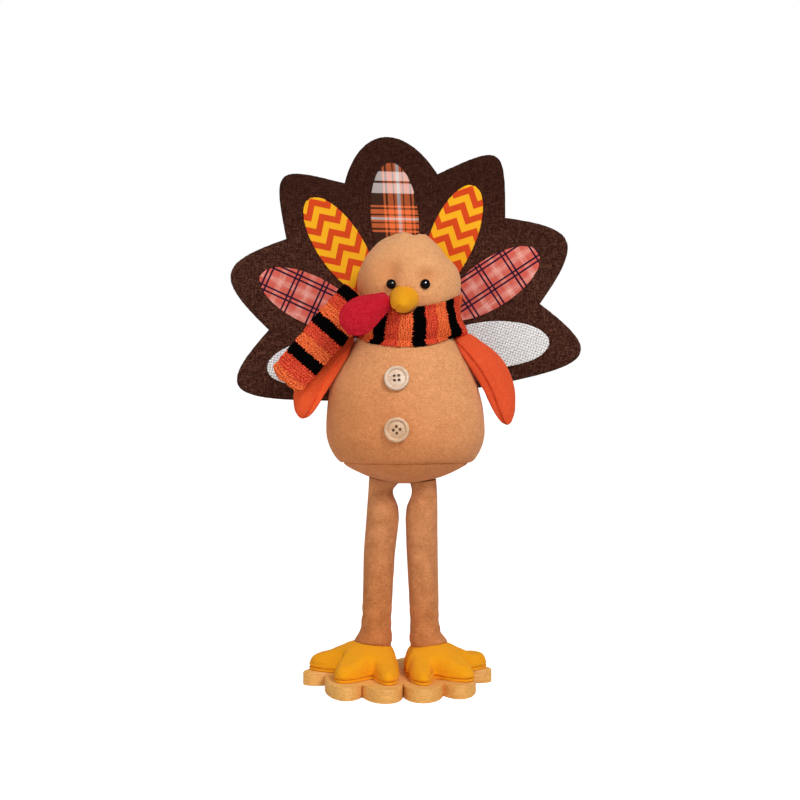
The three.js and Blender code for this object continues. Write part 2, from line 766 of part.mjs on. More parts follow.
const eyeZ = headBottom + EYE_HEIGHT;
const eyeStemRadius = EYE_STEM_DIAMETER / 2;
const eyeSpots = sides.map(({ name, sign }) => {
  const side = EYE_SIDE + (sign * EYE_SPACING) / 2;
  const normal = frontNormal(headProfile, headFlatness, side, eyeZ);
  const spot = new THREE.Vector3(headX + side, headY + frontY(headProfile, headFlatness, side, eyeZ), eyeZ);
  return { name, normal, spot: spot.addScaledVector(normal, CLEARANCE) };
});
const eyeHoles = eyeSpots.map(({ spot, normal }) => {
  const hole = rod(eyeStemRadius + CLEARANCE, -EYE_STEM_LENGTH - CLEARANCE, 2, 0, 0, 12);
  return aimed(hole, spot, normal);
});

const headCover = cut(headForm(headPoints(0, headBottom), 0), headForm(headPoints(FLEECE, headBottom - 1), FLEECE));
piece("head_cover", cut(headCover, ...eyeHoles), finish.fleece);
const headFilling = headForm(headPoints(fillingInset, headBottom), fillingInset);
piece("head_filling", cut(headFilling, ...eyeHoles), finish.filling);

for (const { name, spot, normal } of eyeSpots) {
  const eyeRadius = EYE_DIAMETER / 2;
  const dome = [0, 0.3, 0.6, 0.85, 1].map((share) => {
    return [eyeRadius * Math.cos((share * Math.PI) / 2), EYE_DOME * Math.sin((share * Math.PI) / 2)];
  });
  dome[dome.length - 1][0] = 0;
  const stem = [[0, -EYE_STEM_LENGTH], [eyeStemRadius, -EYE_STEM_LENGTH], [eyeStemRadius, 0]];
  piece(`${name}_eye`, aimed(turn([...stem, ...dome], 16), spot, normal), finish.bead);
}

// Beak: a blunt felt cone sewn to the face
const beakZ = headBottom + BEAK_HEIGHT;
const beakRoot = new THREE.Vector3(
  headX + BEAK_SIDE,
  headY + frontY(headProfile, headFlatness, BEAK_SIDE, beakZ),
  beakZ,
);
const beakAim = new THREE.Vector3(
  -Math.sin(radians(BEAK_TURN)),
  -Math.cos(radians(BEAK_TURN)) * Math.cos(radians(BEAK_DROOP)),
  -Math.sin(radians(BEAK_DROOP)),
).normalize();
const beakSunk = 0.3 * BEAK_LENGTH;

function beakForm(extra) {
  const radius = 0.5 * BEAK_WIDTH + extra;
  const length = BEAK_LENGTH + extra;
  const points = [[0, -beakSunk], [radius, -beakSunk]];
  for (const share of [0, 0.25, 0.5, 0.72, 0.88, 0.97]) {
    points.push([radius * (1 - share ** 2.2) ** 0.75, length * share]);
  }
  points.push([0, length]);
  return aimed(turn(points, LIMB_SIDES), beakRoot, beakAim);
}

piece("beak", cut(beakForm(0), headEnvelope), finish.yellowFelt);

// Scarf wrap: a tilted band that fills the groove of the neck
const wrapRadius = headRadius + WRAP_OVERHANG;
const wrapX = 0.5 * (bodyX + headX);
const wrapZ = neckZ + WRAP_ABOVE_NECK;
const wrapFront = headY - 0.5 * HEAD_DEPTH - WRAP_OVERHANG;
const wrapBack = patchY - CLEARANCE;
const wrapY = 0.5 * (wrapFront + wrapBack);
const wrapFlatness = (0.5 * (wrapBack - wrapFront)) / wrapRadius;
const wrapTilt = radians(WRAP_TILT);
const wrapInner = 0.8 * neckRadius;
const wrapSection = [[wrapInner, -0.5 * WRAP_HEIGHT]];
for (const share of [-0.5, -0.36, -0.18, 0, 0.18, 0.36, 0.5]) {
  wrapSection.push([wrapRadius * (1 - 0.42 * share ** 2), share * WRAP_HEIGHT]);
}
wrapSection.push([wrapInner, 0.5 * WRAP_HEIGHT], wrapSection[0]);
const wrapBand = turn(wrapSection)
  .scale(1, wrapFlatness, 1)
  .rotateX(wrapTilt)
  .translate(wrapX, wrapY, wrapZ);
pressBack(wrapBand, wrapBack, 0);

// Wings: stuffed leaves that swing at their sewn roots and rest on the body's sides
const wingRootHalf = WING_ROOT_WIDTH / 2;
const wingZ = neckZ - WING_BELOW_NECK;
const wingTurn = radians(WING_TURN);
const wingReachX = halfWidthAt(bodyProfile, wingZ) + wingRootHalf + CLEARANCE;
const wingHalfY = Math.hypot(0.5 * WING_WIDTH * Math.sin(wingTurn), 0.5 * WING_THICKNESS * Math.cos(wingTurn));

for (const { name, sign, slant, wing } of sides) {
  const root = new THREE.Vector3(bodyX + sign * wingReachX, -WING_FORWARD, wingZ);
  const leaf = stuffedLimb({
    length: wing,
    width: dropSize(wingRootHalf, 0.5 * WING_WIDTH, 0.55),
    thickness: dropSize(0.7 * wingRootHalf, 0.5 * WING_THICKNESS, 0.55),
    bow: sign * WING_BOW,
  });
  leaf.translate(0, 0, wingRootHalf);
  leaf.rotateZ(sign * wingTurn);
  leaf.rotateY(-sign * radians(slant));
  leaf.translate(root.x, root.y, root.z);
  const trimmed = cut(leaf, bodyEnvelope).translate(-root.x, -root.y, -root.z);
  piece(`${name}_wing`, trimmed, finish.orangeFelt, place(`${name}_wing_root`, root));
}

// Scarf tail: the part below the fold line swings, the part above it belongs to the wrap
const tailSlant = radians(TAIL_SLANT);
const foldRadius = 0.5 * SCARF_THICKNESS;
const foldX = wrapX - wrapRadius - TAIL_SIDE;
const foldCorner = Math.min(wrapRadius, Math.abs(foldX + 0.5 * SCARF_WIDTH * Math.cos(tailSlant) - wrapX));
const wrapAtCorner = wrapY - wrapFlatness * Math.sqrt(wrapRadius ** 2 - foldCorner ** 2);
const tailRestY = -WING_FORWARD - wingHalfY - TAIL_OFF_WING - foldRadius;
const foldY = Math.min(wrapAtCorner - foldRadius - 2 * CLEARANCE, tailRestY);
const fold = new THREE.Vector3(foldX, foldY, neckZ + TAIL_ABOVE_NECK);
const tailLean = Math.asin(THREE.MathUtils.clamp((tailRestY - foldY) / TAIL_LENGTH, 0, 0.4));

function strip(bottom, top, bottomWidth, topWidth, roundTop) {
  const outline = new THREE.Shape();
  const end = roundTop ? 0 : top;
  outline.moveTo(-foldRadius, bottom);
  outline.lineTo(foldRadius, bottom);
  outline.lineTo(foldRadius, end);
  if (roundTop) {
    outline.absarc(0, 0, foldRadius, 0, Math.PI, false);
  } else {
    outline.lineTo(-foldRadius, end);
  }
  outline.closePath();
  const width = Math.max(bottomWidth, topWidth);
  const slab = new THREE.ExtrudeGeometry(outline, { depth: width, bevelEnabled: false, curveSegments: 6 });
  const position = slab.getAttribute("position");
  for (let corner = 0; corner < position.count; corner += 1) {
    const [through, along, across] = [position.getX(corner), position.getY(corner), position.getZ(corner)];
    const share = (along - bottom) / (top - bottom);
    const narrowing = (bottomWidth + (topWidth - bottomWidth) * share) / width;
    position.setXYZ(corner, (across - 0.5 * width) * narrowing, through, along);
  }
  return geometryOf(solidOf(slab));
}

const lead = strip(foldRadius + CLEARANCE, TAIL_LEAD, SCARF_WIDTH, SCARF_WIDTH, false)
  .rotateY(tailSlant)
  .translate(fold.x, fold.y, fold.z);
piece("scarf_wrap", cut(join(wrapBand, lead), headEnvelope, bodyEnvelope, beakForm(1.5 * CLEARANCE)), finish.knit);

const tail = strip(-TAIL_LENGTH, foldRadius, SCARF_WIDTH - 3, SCARF_WIDTH, true)
  .rotateX(tailLean)
  .rotateY(tailSlant);
piece("scarf_tail", tail, finish.knit, place("scarf_fold", fold));

// Snood: rooted beside the beak, its full end lying on the wrap
const snoodZ = headBottom + SNOOD_HEIGHT;
const snoodRootHalf = SNOOD_ROOT_WIDTH / 2;
const snoodSlant = radians(SNOOD_SLANT);
const snoodRootThickness = 0.36 * SNOOD_THICKNESS;
const snoodRoot = new THREE.Vector3(
  headX + SNOOD_SIDE,
  headY + frontY(headProfile, headFlatness, SNOOD_SIDE, snoodZ),
  snoodZ,
);
snoodRoot.addScaledVector(
  frontNormal(headProfile, headFlatness, SNOOD_SIDE, snoodZ),
  snoodRootHalf + CLEARANCE,
);
const snoodFullest = 0.66;
const snoodRestY = wrapFront - SNOOD_OFF_SCARF - 0.5 * SNOOD_THICKNESS;
const snoodLean = Math.asin(
  THREE.MathUtils.clamp((snoodRoot.y - snoodRestY) / (snoodFullest * SNOOD_LENGTH - snoodRootHalf), 0, 0.7),
);
const drop = stuffedLimb({
  length: SNOOD_LENGTH,
  width: dropSize(snoodRootHalf, 0.5 * SNOOD_WIDTH, snoodFullest),
  thickness: dropSize(snoodRootThickness, 0.5 * SNOOD_THICKNESS, snoodFullest),
});
drop.translate(0, 0, snoodRootHalf);
drop.rotateX(-snoodLean);
drop.rotateY(snoodSlant);
piece("snood", drop, finish.redFelt, place("snood_root", snoodRoot));

// Buttons: turned wooden discs with a recessed face and four holes
function button(holeTurn) {
  const radius = BUTTON_DIAMETER / 2;
  const dish = radius - BUTTON_RIM;
  const disc = turn(
    [
      [0, 0],
      [radius - 0.6, 0],
      [radius, 0.8],
      [radius, BUTTON_THICKNESS - 0.8],
      [radius - 0.8, BUTTON_THICKNESS],
      [dish + 0.6, BUTTON_THICKNESS],
      [dish, BUTTON_THICKNESS - BUTTON_RECESS],
      [0, BUTTON_THICKNESS - BUTTON_RECESS],
    ],
    28,
  );
  const holes = [0, 90, 180, 270].map((direction) => {
    const place = polar(direction + holeTurn, BUTTON_HOLE_SPACING / Math.SQRT2);
    return rod(BUTTON_HOLE / 2, -1, BUTTON_THICKNESS + 1, place.x, place.y, 10);
  });
  return cut(disc, ...holes);
}

for (const [name, height, holeTurn] of [
  ["upper_button", UPPER_BUTTON_HEIGHT, 45],
  ["lower_button", LOWER_BUTTON_HEIGHT, 0],
]) {
  const z = bodyBottom + height;
  const normal = frontNormal(bodyProfile, bodyFlatness, BUTTON_SIDE, z);
  const spot = new THREE.Vector3(bodyX + BUTTON_SIDE, frontY(bodyProfile, bodyFlatness, BUTTON_SIDE, z), z);
  piece(name, aimed(button(holeTurn), spot.addScaledVector(normal, CLEARANCE), normal), finish.button);
}

// Tail fan: two felts over a card stiffener
function fanShape(inset) {
  const lobe = FAN_LOBES.map((direction, place) => polar(direction, FAN_LOBE_REACH[place] - inset));
  const notch = FAN_NOTCHES.map((direction, place) => polar(direction, FAN_NOTCH_REACH[place] - inset));
  const corner = new THREE.Vector2(FAN_CORNER[0] - inset, FAN_CORNER[1] + inset);
  const mirrored = (point) => new THREE.Vector2(-point.x, point.y);
  const stops = [...notch, corner];
  const shape = new THREE.Shape();
  shape.moveTo(-notch[0].x, notch[0].y);
  addLobe(shape, mirrored(notch[0]), lobe[0], notch[0], FAN_LOBE_SHARPNESS[0]);
  for (let place = 1; place < lobe.length; place += 1) {
    addLobe(shape, stops[place - 1], lobe[place], stops[place], FAN_LOBE_SHARPNESS[place]);
  }
  shape.quadraticCurveTo(0, 2 * (inset - FAN_LOWER_EDGE) - corner.y, -corner.x, corner.y);
  for (let place = lobe.length - 1; place > 0; place -= 1) {
    const [from, to] = [mirrored(stops[place]), mirrored(stops[place - 1])];
    addLobe(shape, from, mirrored(lobe[place]), to, FAN_LOBE_SHARPNESS[place]);
  }
  return shape;
}

const fan = place("tail_fan", new THREE.Vector3(fanX, fanY, fanZ));
fan.rotation.y = -radians(FAN_TILT);

function layer(name, geometry, look, depth) {
  piece(name, geometry, look, fan).position.y = depth;
}

const cardDepth = FELT + CLEARANCE;
layer("fan_front_felt", panel(fanShape(0), FELT, 9), finish.brownFelt, 0);
layer("fan_stiffener", panel(fanShape(STIFFENER_BORDER), CARD, 9), finish.card, cardDepth);
layer("fan_back_felt", panel(fanShape(0), FELT, 9), finish.brownFelt, cardDepth + CARD + CLEARANCE);

// Feather patches, one on each lobe
function featherShape(direction, tip, width) {
  const points = [];
  const steps = 30;
  for (let step = 0; step < steps; step += 1) {
    const angle = (2 * Math.PI * step) / steps;
    const across = 0.5 * width * Math.sin(angle) * (1 + FEATHER_FULLNESS * Math.cos(angle));
    const along = tip - 0.5 * FEATHER_LENGTH * (1 - Math.cos(angle));
    points.push(new THREE.Vector2(across, along).rotateAround(new THREE.Vector2(), -radians(direction)));
  }
  return new THREE.Shape(points);
}

const feathers = [
  ["lower_left_feather", -3, finish.weave],
  ["left_feather", -2, finish.check],
  ["upper_left_feather", -1, finish.zigzag],
  ["top_feather", 0, finish.plaid],
  ["upper_right_feather", 1, finish.zigzag],
  ["right_feather", 2, finish.check],
  ["lower_right_feather", 3, finish.weave],
];
for (const [name, place, look] of feathers) {
  const lobe = Math.abs(place);
  const tip = FAN_LOBE_REACH[lobe] - FEATHER_BORDERS[lobe];
  const shape = featherShape(FEATHERS[lobe] * Math.sign(place), tip, FEATHER_WIDTHS[lobe]);
  layer(name, panel(shape, PATCH, 1), look, -CLEARANCE - PATCH);
}

export default figure;
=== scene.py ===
"""Dresses the standing turkey figure in fleece, felt, knit, patterned cloth and wood."""

import logging
import math
from dataclasses import dataclass, field
from enum import Enum
from typing import Sequence

import bmesh
import bpy
import numpy as np
from mathutils import Matrix, Vector


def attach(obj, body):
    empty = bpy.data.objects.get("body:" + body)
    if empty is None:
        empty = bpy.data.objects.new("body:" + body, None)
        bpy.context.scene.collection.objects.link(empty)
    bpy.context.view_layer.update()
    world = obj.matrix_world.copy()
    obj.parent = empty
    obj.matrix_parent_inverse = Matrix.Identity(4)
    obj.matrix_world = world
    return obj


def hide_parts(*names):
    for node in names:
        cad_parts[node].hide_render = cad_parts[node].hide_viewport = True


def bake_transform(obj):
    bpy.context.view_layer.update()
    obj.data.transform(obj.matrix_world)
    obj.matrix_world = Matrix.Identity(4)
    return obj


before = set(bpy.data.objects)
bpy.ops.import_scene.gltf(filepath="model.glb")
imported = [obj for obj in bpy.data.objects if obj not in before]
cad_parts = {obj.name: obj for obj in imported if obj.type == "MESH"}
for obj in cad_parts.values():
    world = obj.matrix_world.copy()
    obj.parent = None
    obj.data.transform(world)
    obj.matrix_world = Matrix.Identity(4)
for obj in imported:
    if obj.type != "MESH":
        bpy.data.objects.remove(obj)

LOG = logging.getLogger("turkey_figure")
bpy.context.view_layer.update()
MM = 0.001
SEAT = 0.3
Array = np.ndarray
Piece = bpy.types.Object
Material = bpy.types.Material
Colour = tuple[float, float, float, float]
BLACK: Colour = (0, 0, 0, 1)
WHITE: Colour = (1, 1, 1, 1)


# Numbers and forms


def eased(x: Array, low: float, high: float) -> Array:
    """Rises smoothly from 0 at low to 1 at high."""
    share = np.clip((x - low) / (high - low), 0, 1)
    return share * share * (3 - 2 * share)


def bell(distance: Array, width: float) -> Array:
    """A soft bump that is 1 at no distance."""
    return np.exp(-((distance / width) ** 2))


def mound(over: Array, up: Array, wide: float, high: float) -> Array:
    """A soft bump with a width and a height of its own."""
    return np.exp(-((over / wide) ** 2) - (up / high) ** 2)


def ring_angles(count: int) -> Array:
    """Evenly spaced angles once round."""
    return 2 * np.pi * np.arange(count) / count


def angle_from(angle: Array, line: Array | float) -> Array:
    """How far an angle is turned from a line, the short way round."""
    return np.angle(np.exp(1j * (angle - line)))


def unit(vectors: Array) -> Array:
    """Vectors brought to a length of 1."""
    return vectors / np.linalg.norm(vectors, axis=-1, keepdims=True)


def flat_places(first: Array, second: Array) -> Array:
    """Places in a plane, for lumps over cloth that is still flat."""
    return np.stack(np.broadcast_arrays(first, second, 0.0), -1)


def polar(degrees: float) -> Array:
    """The direction in a plane at an angle from straight up or ahead."""
    return np.array([math.sin(math.radians(degrees)), math.cos(math.radians(degrees))])


def spun(flat: Array, degrees: float) -> Array:
    """Points in a plane turned about its origin, from the first axis to the second."""
    turn = math.radians(degrees)
    first, second = flat[..., 0], flat[..., 1]
    return np.stack([first * math.cos(turn) - second * math.sin(turn),
                     first * math.sin(turn) + second * math.cos(turn)], -1)


def bezier(points: Sequence[Sequence[float]], count: int) -> Array:
    """Points along a cubic curve.

    Args:
        points: Its four control points.
        count: How many points to return, ends included.

    Returns:
        An array of count points.
    """
    a, b, c, d = (np.asarray(p, float) for p in points)
    t = np.linspace(0, 1, count)[:, None]
    return a * (1 - t) ** 3 + 3 * b * t * (1 - t) ** 2 + 3 * c * t * t * (1 - t) + d * t**3


def lumps(points: Array, size: float, seed: int) -> Array:
    """Smooth random swelling.

    Args:
        points: Places in millimetres, in the last axis.
        size: How far apart the lumps are.
        seed: Picks one of many patterns.

    Returns:
        A value from -1 to 1 at each place.
    """
    scaled = points / size + 17.31 * seed
    cell = np.floor(scaled).astype(np.int64)
    part = scaled - cell
    part = part * part * (3 - 2 * part)
    total = np.zeros(points.shape[:-1])
    for corner in range(8):
        step = np.array([corner & 1, corner >> 1 & 1, corner >> 2 & 1])
        key = ((cell + step) * np.array([7385, 1934, 8349])).sum(-1) + 2654 * seed
        value = np.modf(np.sin(key % 10473) * 43758.5453)[0]
        total += value * np.prod(np.where(step == 1, part, 1 - part), axis=-1)
    return total


def turned(points: Array, axis: str, degrees: float) -> Array:
    """Points turned about one axis through the origin."""
    return points @ np.array(Matrix.Rotation(math.radians(degrees), 3, axis)).T


def aimed(points: Array, place: Array, direction: Array) -> Array:
    """Points whose own +Z is turned to a direction and whose origin is moved to a place."""
    up = np.array([0.0, 0.0, 1.0])
    axis = np.cross(up, direction)
    angle = math.atan2(np.linalg.norm(axis), float(up @ direction))
    turn = np.array(Matrix.Rotation(angle, 3, axis.tolist()))
    return points @ turn.T + place


@dataclass
class Surface:
    """A skin of points in millimetres: rows along a form, columns once round it."""

    points: Array

    def normals(self) -> Array:
        """Outward directions at the points."""
        round_it = np.roll(self.points, -1, 1) - np.roll(self.points, 1, 1)
        along = np.gradient(self.points, axis=0)
        normal = np.cross(round_it, along)
        length = np.linalg.norm(normal, axis=-1, keepdims=True)
        for row, inner in ((0, 1), (-1, -2)):
            if length[row].max() < 1e-6:
                normal[row] = normal[inner].mean(0)
                length[row] = np.linalg.norm(normal[row], axis=-1, keepdims=True)
        return normal / np.maximum(length, 1e-9)

    def pushed(self, amount: Array) -> "Surface":
        """The surface moved outward by an amount at each point."""
        return Surface(self.points + self.normals() * amount[..., None])

    def build(self, name: str, cloth: Array | None = None, ends: bool = True) -> Piece:
        """Makes a mesh object of the surface.

        Args:
            name: The object's name.
            cloth: Three numbers for each point, kept as the cloth attribute.
            ends: Closes the first and last rows with a face.

        Returns:
            The new object, linked to the scene.
        """
        rows, columns = self.points.shape[:2]
        index = np.arange(rows * columns).reshape(rows, columns)
        beside = np.roll(index, -1, 1)
        quads = np.stack([index[:-1], beside[:-1], beside[1:], index[1:]], -1).reshape(-1, 4).tolist()
        if ends:
            quads += [index[0, ::-1].tolist(), index[-1].tolist()]
        mesh = bpy.data.meshes.new(name)
        mesh.from_pydata((self.points.reshape(-1, 3) * MM).tolist(), [], quads)
        if cloth is not None:
            layer = mesh.attributes.new("cloth", "FLOAT_VECTOR", "POINT")
            layer.data.foreach_set("vector", cloth.reshape(-1).astype(np.float32))
        return finished_mesh(name, mesh)


def finished_mesh(name: str, mesh: bpy.types.Mesh) -> Piece:
    """Welds and smooths a mesh and links an object that holds it."""
    work = bmesh.new()
    work.from_mesh(mesh)
    bmesh.ops.remove_doubles(work, verts=work.verts, dist=1e-7)
    bmesh.ops.dissolve_degenerate(work, edges=work.edges, dist=1e-7)
    bmesh.ops.recalc_face_normals(work, faces=work.faces)
    work.to_mesh(mesh)
    work.free()
    mesh.shade_smooth()
    made = bpy.data.objects.new(name, mesh)
    bpy.context.scene.collection.objects.link(made)
    return made


def lathe(profile: Array, sides: int) -> Surface:
    """A form turned about Z from points of radius and height."""
    angle = ring_angles(sides)
    radius, height = profile[:, :1], profile[:, 1:]
    ones = np.ones_like(angle)[None]
    return Surface(np.stack([radius * np.cos(angle), radius * np.sin(angle), height * ones], -1))


# Shaders


class Value:
    """A shader socket that takes part in Python arithmetic."""

    def __init__(self, shade: "Shade", socket: bpy.types.NodeSocket) -> None:
        """Keeps the socket and the material it belongs to."""
        self.shade = shade
        self.socket = socket

    def math(self, operation: str, *others: "Value | float") -> "Value":
        """This value put through one operation of a Math node."""
        return self.shade.maths(operation, self, *others)

    def __add__(self, other: "Value | float") -> "Value":
        """Sum."""
        return self.math("ADD", other)

    __radd__ = __add__

    def __mul__(self, other: "Value | float") -> "Value":
        """Product."""
        return self.math("MULTIPLY", other)

    __rmul__ = __mul__

    def __sub__(self, other: "Value | float") -> "Value":
        """Difference."""
        return self.math("SUBTRACT", other)

    def __rsub__(self, other: float) -> "Value":
        """A number less this value."""
        return self.shade.maths("SUBTRACT", other, self)

    def __truediv__(self, other: "Value | float") -> "Value":
        """Quotient."""
        return self.math("DIVIDE", other)

    def __lt__(self, other: "Value | float") -> "Value":
        """1 where this value is the smaller one."""
        return self.math("LESS_THAN", other)

    def __gt__(self, other: "Value | float") -> "Value":
        """1 where this value is the greater one."""
        return self.math("GREATER_THAN", other)

    def __abs__(self) -> "Value":
        """Size without its sign."""
        return self.math("ABSOLUTE")

    def wrapped(self, period: float) -> "Value":
        """What is left over after whole periods, never negative."""
        return self.math("WRAP", period, 0.0)

    def folded(self, period: float) -> "Value":
        """Distance to the nearest whole period."""
        return self.math("PINGPONG", period / 2)

    def soft(self, low: float, high: float) -> "Value":
        """Rises smoothly from 0 at low to 1 at high."""
        settings = {"interpolation_type": "SMOOTHSTEP"}
        return self.shade.node("ShaderNodeMapRange", settings, {0: self, 1: low, 2: high, 3: 0.0, 4: 1.0})

    def waved(self, period: float) -> "Value":
        """A wave from 0 to 1 with one crest in each period."""
        return (self * (2 * math.pi / period)).math("COSINE") * 0.5 + 0.5


class Shade:
    """One material, with a Principled shader and any nodes that feed it."""

    def __init__(self, name: str) -> None:
        """Makes the material and keeps its shader."""
        self.material = bpy.data.materials.new(name)
        self.material.use_nodes = True
        self.tree = self.material.node_tree
        self.shader = self.tree.nodes["Principled BSDF"]

    def node(self, kind: str, settings: dict | None = None, sockets: dict | None = None,
             out: int | str = 0) -> Value:
        """Adds a node of any kind.

        Args:
            kind: The node's type.
            settings: Its own settings, set first.
            sockets: Values or links for its inputs, by name or place.
            out: Which output to return.

        Returns:
            The chosen output.
        """
        made = self.tree.nodes.new(kind)
        for key, setting in (settings or {}).items():
            setattr(made, key, setting)
        for key, value in (sockets or {}).items():
            self.feed(made.inputs[key], value)
        return Value(self, made.outputs[out])

    def feed(self, socket: bpy.types.NodeSocket, value: "Value | float | Sequence[float]") -> None:
        """Links a value to a socket, or sets the socket to a constant."""
        if isinstance(value, Value):
            self.tree.links.new(value.socket, socket)
        else:
            socket.default_value = value

    def maths(self, operation: str, *values: "Value | float") -> Value:
        """A Math node on values and numbers."""
        return self.node("ShaderNodeMath", {"operation": operation}, dict(enumerate(values)))

    def mix(self, share: "Value | float", first: "Value | Colour", second: "Value | Colour",
            blend: str = "MIX") -> Value:
        """Mixes two colours.

        Args:
            share: How much of the second shows.
            first: A colour or a colour socket.
            second: Another.
            blend: How the second is laid over the first.

        Returns:
            The mixed colour.
        """
        settings = {"data_type": "RGBA", "blend_type": blend}
        return self.node("ShaderNodeMix", settings, {0: share, 6: first, 7: second}, 2)

    def place(self) -> Value:
        """The point's place on the object, in metres."""
        return self.node("ShaderNodeTexCoord", out="Object")

    def cloth(self) -> tuple[Value, Value, Value]:
        """The three numbers kept on a cloth's points."""
        return self.split(self.node("ShaderNodeAttribute", {"attribute_name": "cloth"}, out="Vector"))

    def split(self, vector: Value) -> tuple[Value, Value, Value]:
        """The three parts of a vector."""
        parts = self.node("ShaderNodeSeparateXYZ", sockets={0: vector}).socket.node
        return tuple(Value(self, part) for part in parts.outputs)

    def flat(self, first: Value, second: Value) -> Value:
        """A place on flat cloth, from two distances in millimetres."""
        return self.node("ShaderNodeCombineXYZ", None, {0: first * MM, 1: second * MM})

    def seen(self) -> Value:
        """1 where the camera sees it, straight or through something clear."""
        path = self.node("ShaderNodeLightPath").socket.node
        straight, through = (Value(self, path.outputs[f"Is {ray} Ray"]) for ray in ("Camera", "Transmission"))
        return straight.math("MAXIMUM", through)

    def noise(self, size: float, detail: float = 2, place: Value | None = None, rough: float = 0.5,
              warp: float = 0) -> Value:
        """Cloudy noise.

        Args:
            size: Width of its clouds in millimetres.
            detail: How many finer layers it has.
            place: Where it is read, the object's own place if not given.
            rough: How strong the finer layers are.
            warp: How much it is swirled.

        Returns:
            A value from 0 to 1.
        """
        sockets = {"Vector": place or self.place(), "Scale": 1 / (size * MM), "Detail": detail,
                   "Roughness": rough, "Distortion": warp}
        return self.node("ShaderNodeTexNoise", None, sockets, "Fac")

    def stretched(self, scale: Sequence[float], turn: Sequence[float] = (0, 0, 0),
                  place: Value | None = None) -> Value:
        """A place stretched along its axes, the object's own if not given."""
        sockets = {"Vector": place or self.place(), "Scale": scale, "Rotation": turn}
        return self.node("ShaderNodeMapping", None, sockets)

    def relief(self, height: Value, strength: float, depth: float) -> None:
        """Feeds a bump of a depth in millimetres to the shader's normal."""
        sockets = {"Height": height, "Strength": strength, "Distance": depth * MM}
        self.feed(self.shader.inputs["Normal"], self.node("ShaderNodeBump", None, sockets))

    def fit(self, **sockets: "Value | float | Sequence[float]") -> Material:
        """Sets the shader's sockets, named with _ for spaces, and returns the material."""
        for key, value in sockets.items():
            self.feed(self.shader.inputs[key.replace("_", " ")], value)
        return self.material


class Sky(Shade):
    """The light all round, with any nodes that feed it."""

    def __init__(self, name: str) -> None:
        """Makes the world and keeps its shader."""
        world = bpy.data.worlds.new(name)
        world.use_nodes = True
        bpy.context.scene.world = world
        self.tree = world.node_tree
        self.shader = self.tree.nodes["Background"]


def leaned(across: Value, along: Value, degrees: float) -> tuple[Value, Value]:
    """Distances across and along threads that lean by an angle."""
    lean = math.radians(degrees)
    side = across * math.cos(lean) + along * math.sin(lean)
    return side, along * math.cos(lean) - across * math.sin(lean)


def rgb(red: float, green: float, blue: float) -> Colour:
    """A colour from its 0 to 255 screen values."""
    def linear(value: float) -> float:
        """One screen value as an amount of light."""
        share = value / 255
        return share / 12.92 if share <= 0.04045 else ((share + 0.055) / 1.055) ** 2.4
    return (linear(red), linear(green), linear(blue), 1.0)


# Finishes


@dataclass(frozen=True)
class Fleece:
    """Short brushed nap over a knitted ground."""

    name: str
    colour: Colour
    shadow: Colour
    # deep is the painted shade colour low on the left; middle, spread and toward place its blend into the
    # painted light high on the right
    deep: Colour
    middle: tuple[float, float]
    spread: float = 45.0
    mottle: float = 0.1
    toward: tuple[float, float] = (0.55, 0.83)
    nap: float = 0.75
    patch: float = 11.0
    curl: float = 1.8
    curl_share: float = 0.3
    # dent is the painted shade colour in the head's dents
    dent: Colour = rgb(206, 122, 70)

    def material(self) -> Material:
        """Makes the material, with painted shade that deepens it low on the left and painted light that pales
        it high on the right.
        """
        shade = Shade(self.name)
        x, _, z = shade.split(shade.place())
        aside, up = self.toward
        centre, spread = (aside * self.middle[0] + up * self.middle[1]) * MM, self.spread * MM
        painted_light_share = (x * aside + z * up).soft(centre - spread, centre + spread)
        nap = shade.noise(self.nap, 3, shade.stretched((0.8, 0.8, 1), (0, 0.6, 0)), 0.65, 1.2)
        patch = shade.noise(self.patch, 2)
        curl = shade.noise(self.curl, 1, shade.stretched((0.6, 0.6, 1), (0, -0.5, 0)), 0.5, 1.6)
        tone = nap * (1 - self.curl_share - self.mottle) + patch * self.mottle + curl * self.curl_share
        # painted light and shade: deep low on the left, the own colour high on the right
        pale = shade.mix(painted_light_share, self.deep, self.colour)
        colour = shade.mix(tone.soft(0.27, 0.71), shade.mix(1.0, pale, self.shadow, "MULTIPLY"), pale)
        # painted shade in the head's dents, which the head keeps in its cloth attribute
        pressed, _, _ = shade.cloth()
        colour = shade.mix(pressed * 0.5, colour, self.dent)
        shade.relief(nap * 0.5 + curl * 0.5, 0.8, 0.7)
        return shade.fit(Base_Color=colour, Roughness=0.94, Sheen_Weight=0.12, Sheen_Roughness=0.5,
                         Specular_IOR_Level=0.0)


@dataclass(frozen=True)
class Felt:
    """Matted wool with wandering fibres."""

    name: str
    colour: Colour
    fibre: Colour
    contrast: float = 0.5
    depth: float = 0.3
    shade_above: float = 1000.0
    shade_rise: float = 90.0

    def material(self) -> Material:
        """Makes the material, with fewer pale fibres above a height: painted shade that darkens the top."""
        shade = Shade(self.name)
        fine = shade.noise(0.9, 4, None, 0.65, 1.6)
        across, up = (shade.noise(1.6, 2, shade.stretched(scale, (0, turn, 0)), 0.6, 0.9)
                      for scale, turn in (((0.35, 1, 1.5), 0.5), ((1.5, 1, 0.35), 0.4)))
        hair = across.math("MAXIMUM", up)
        _, _, height = shade.split(shade.place())
        # painted shade: fewer pale fibres above a height darken the fan's top
        top_shade = height.soft(self.shade_above * MM, (self.shade_above + self.shade_rise) * MM)
        tone = (fine * 0.4 + hair * 0.6).soft(0.46, 0.68) * self.contrast * (1 - top_shade * 0.65)
        colour = shade.mix(tone, self.colour, self.fibre)
        shade.relief(fine * 0.5 + hair * 0.5, 0.6, self.depth)
        return shade.fit(Base_Color=colour, Roughness=0.96, Sheen_Weight=0.05, Specular_IOR_Level=0.0)


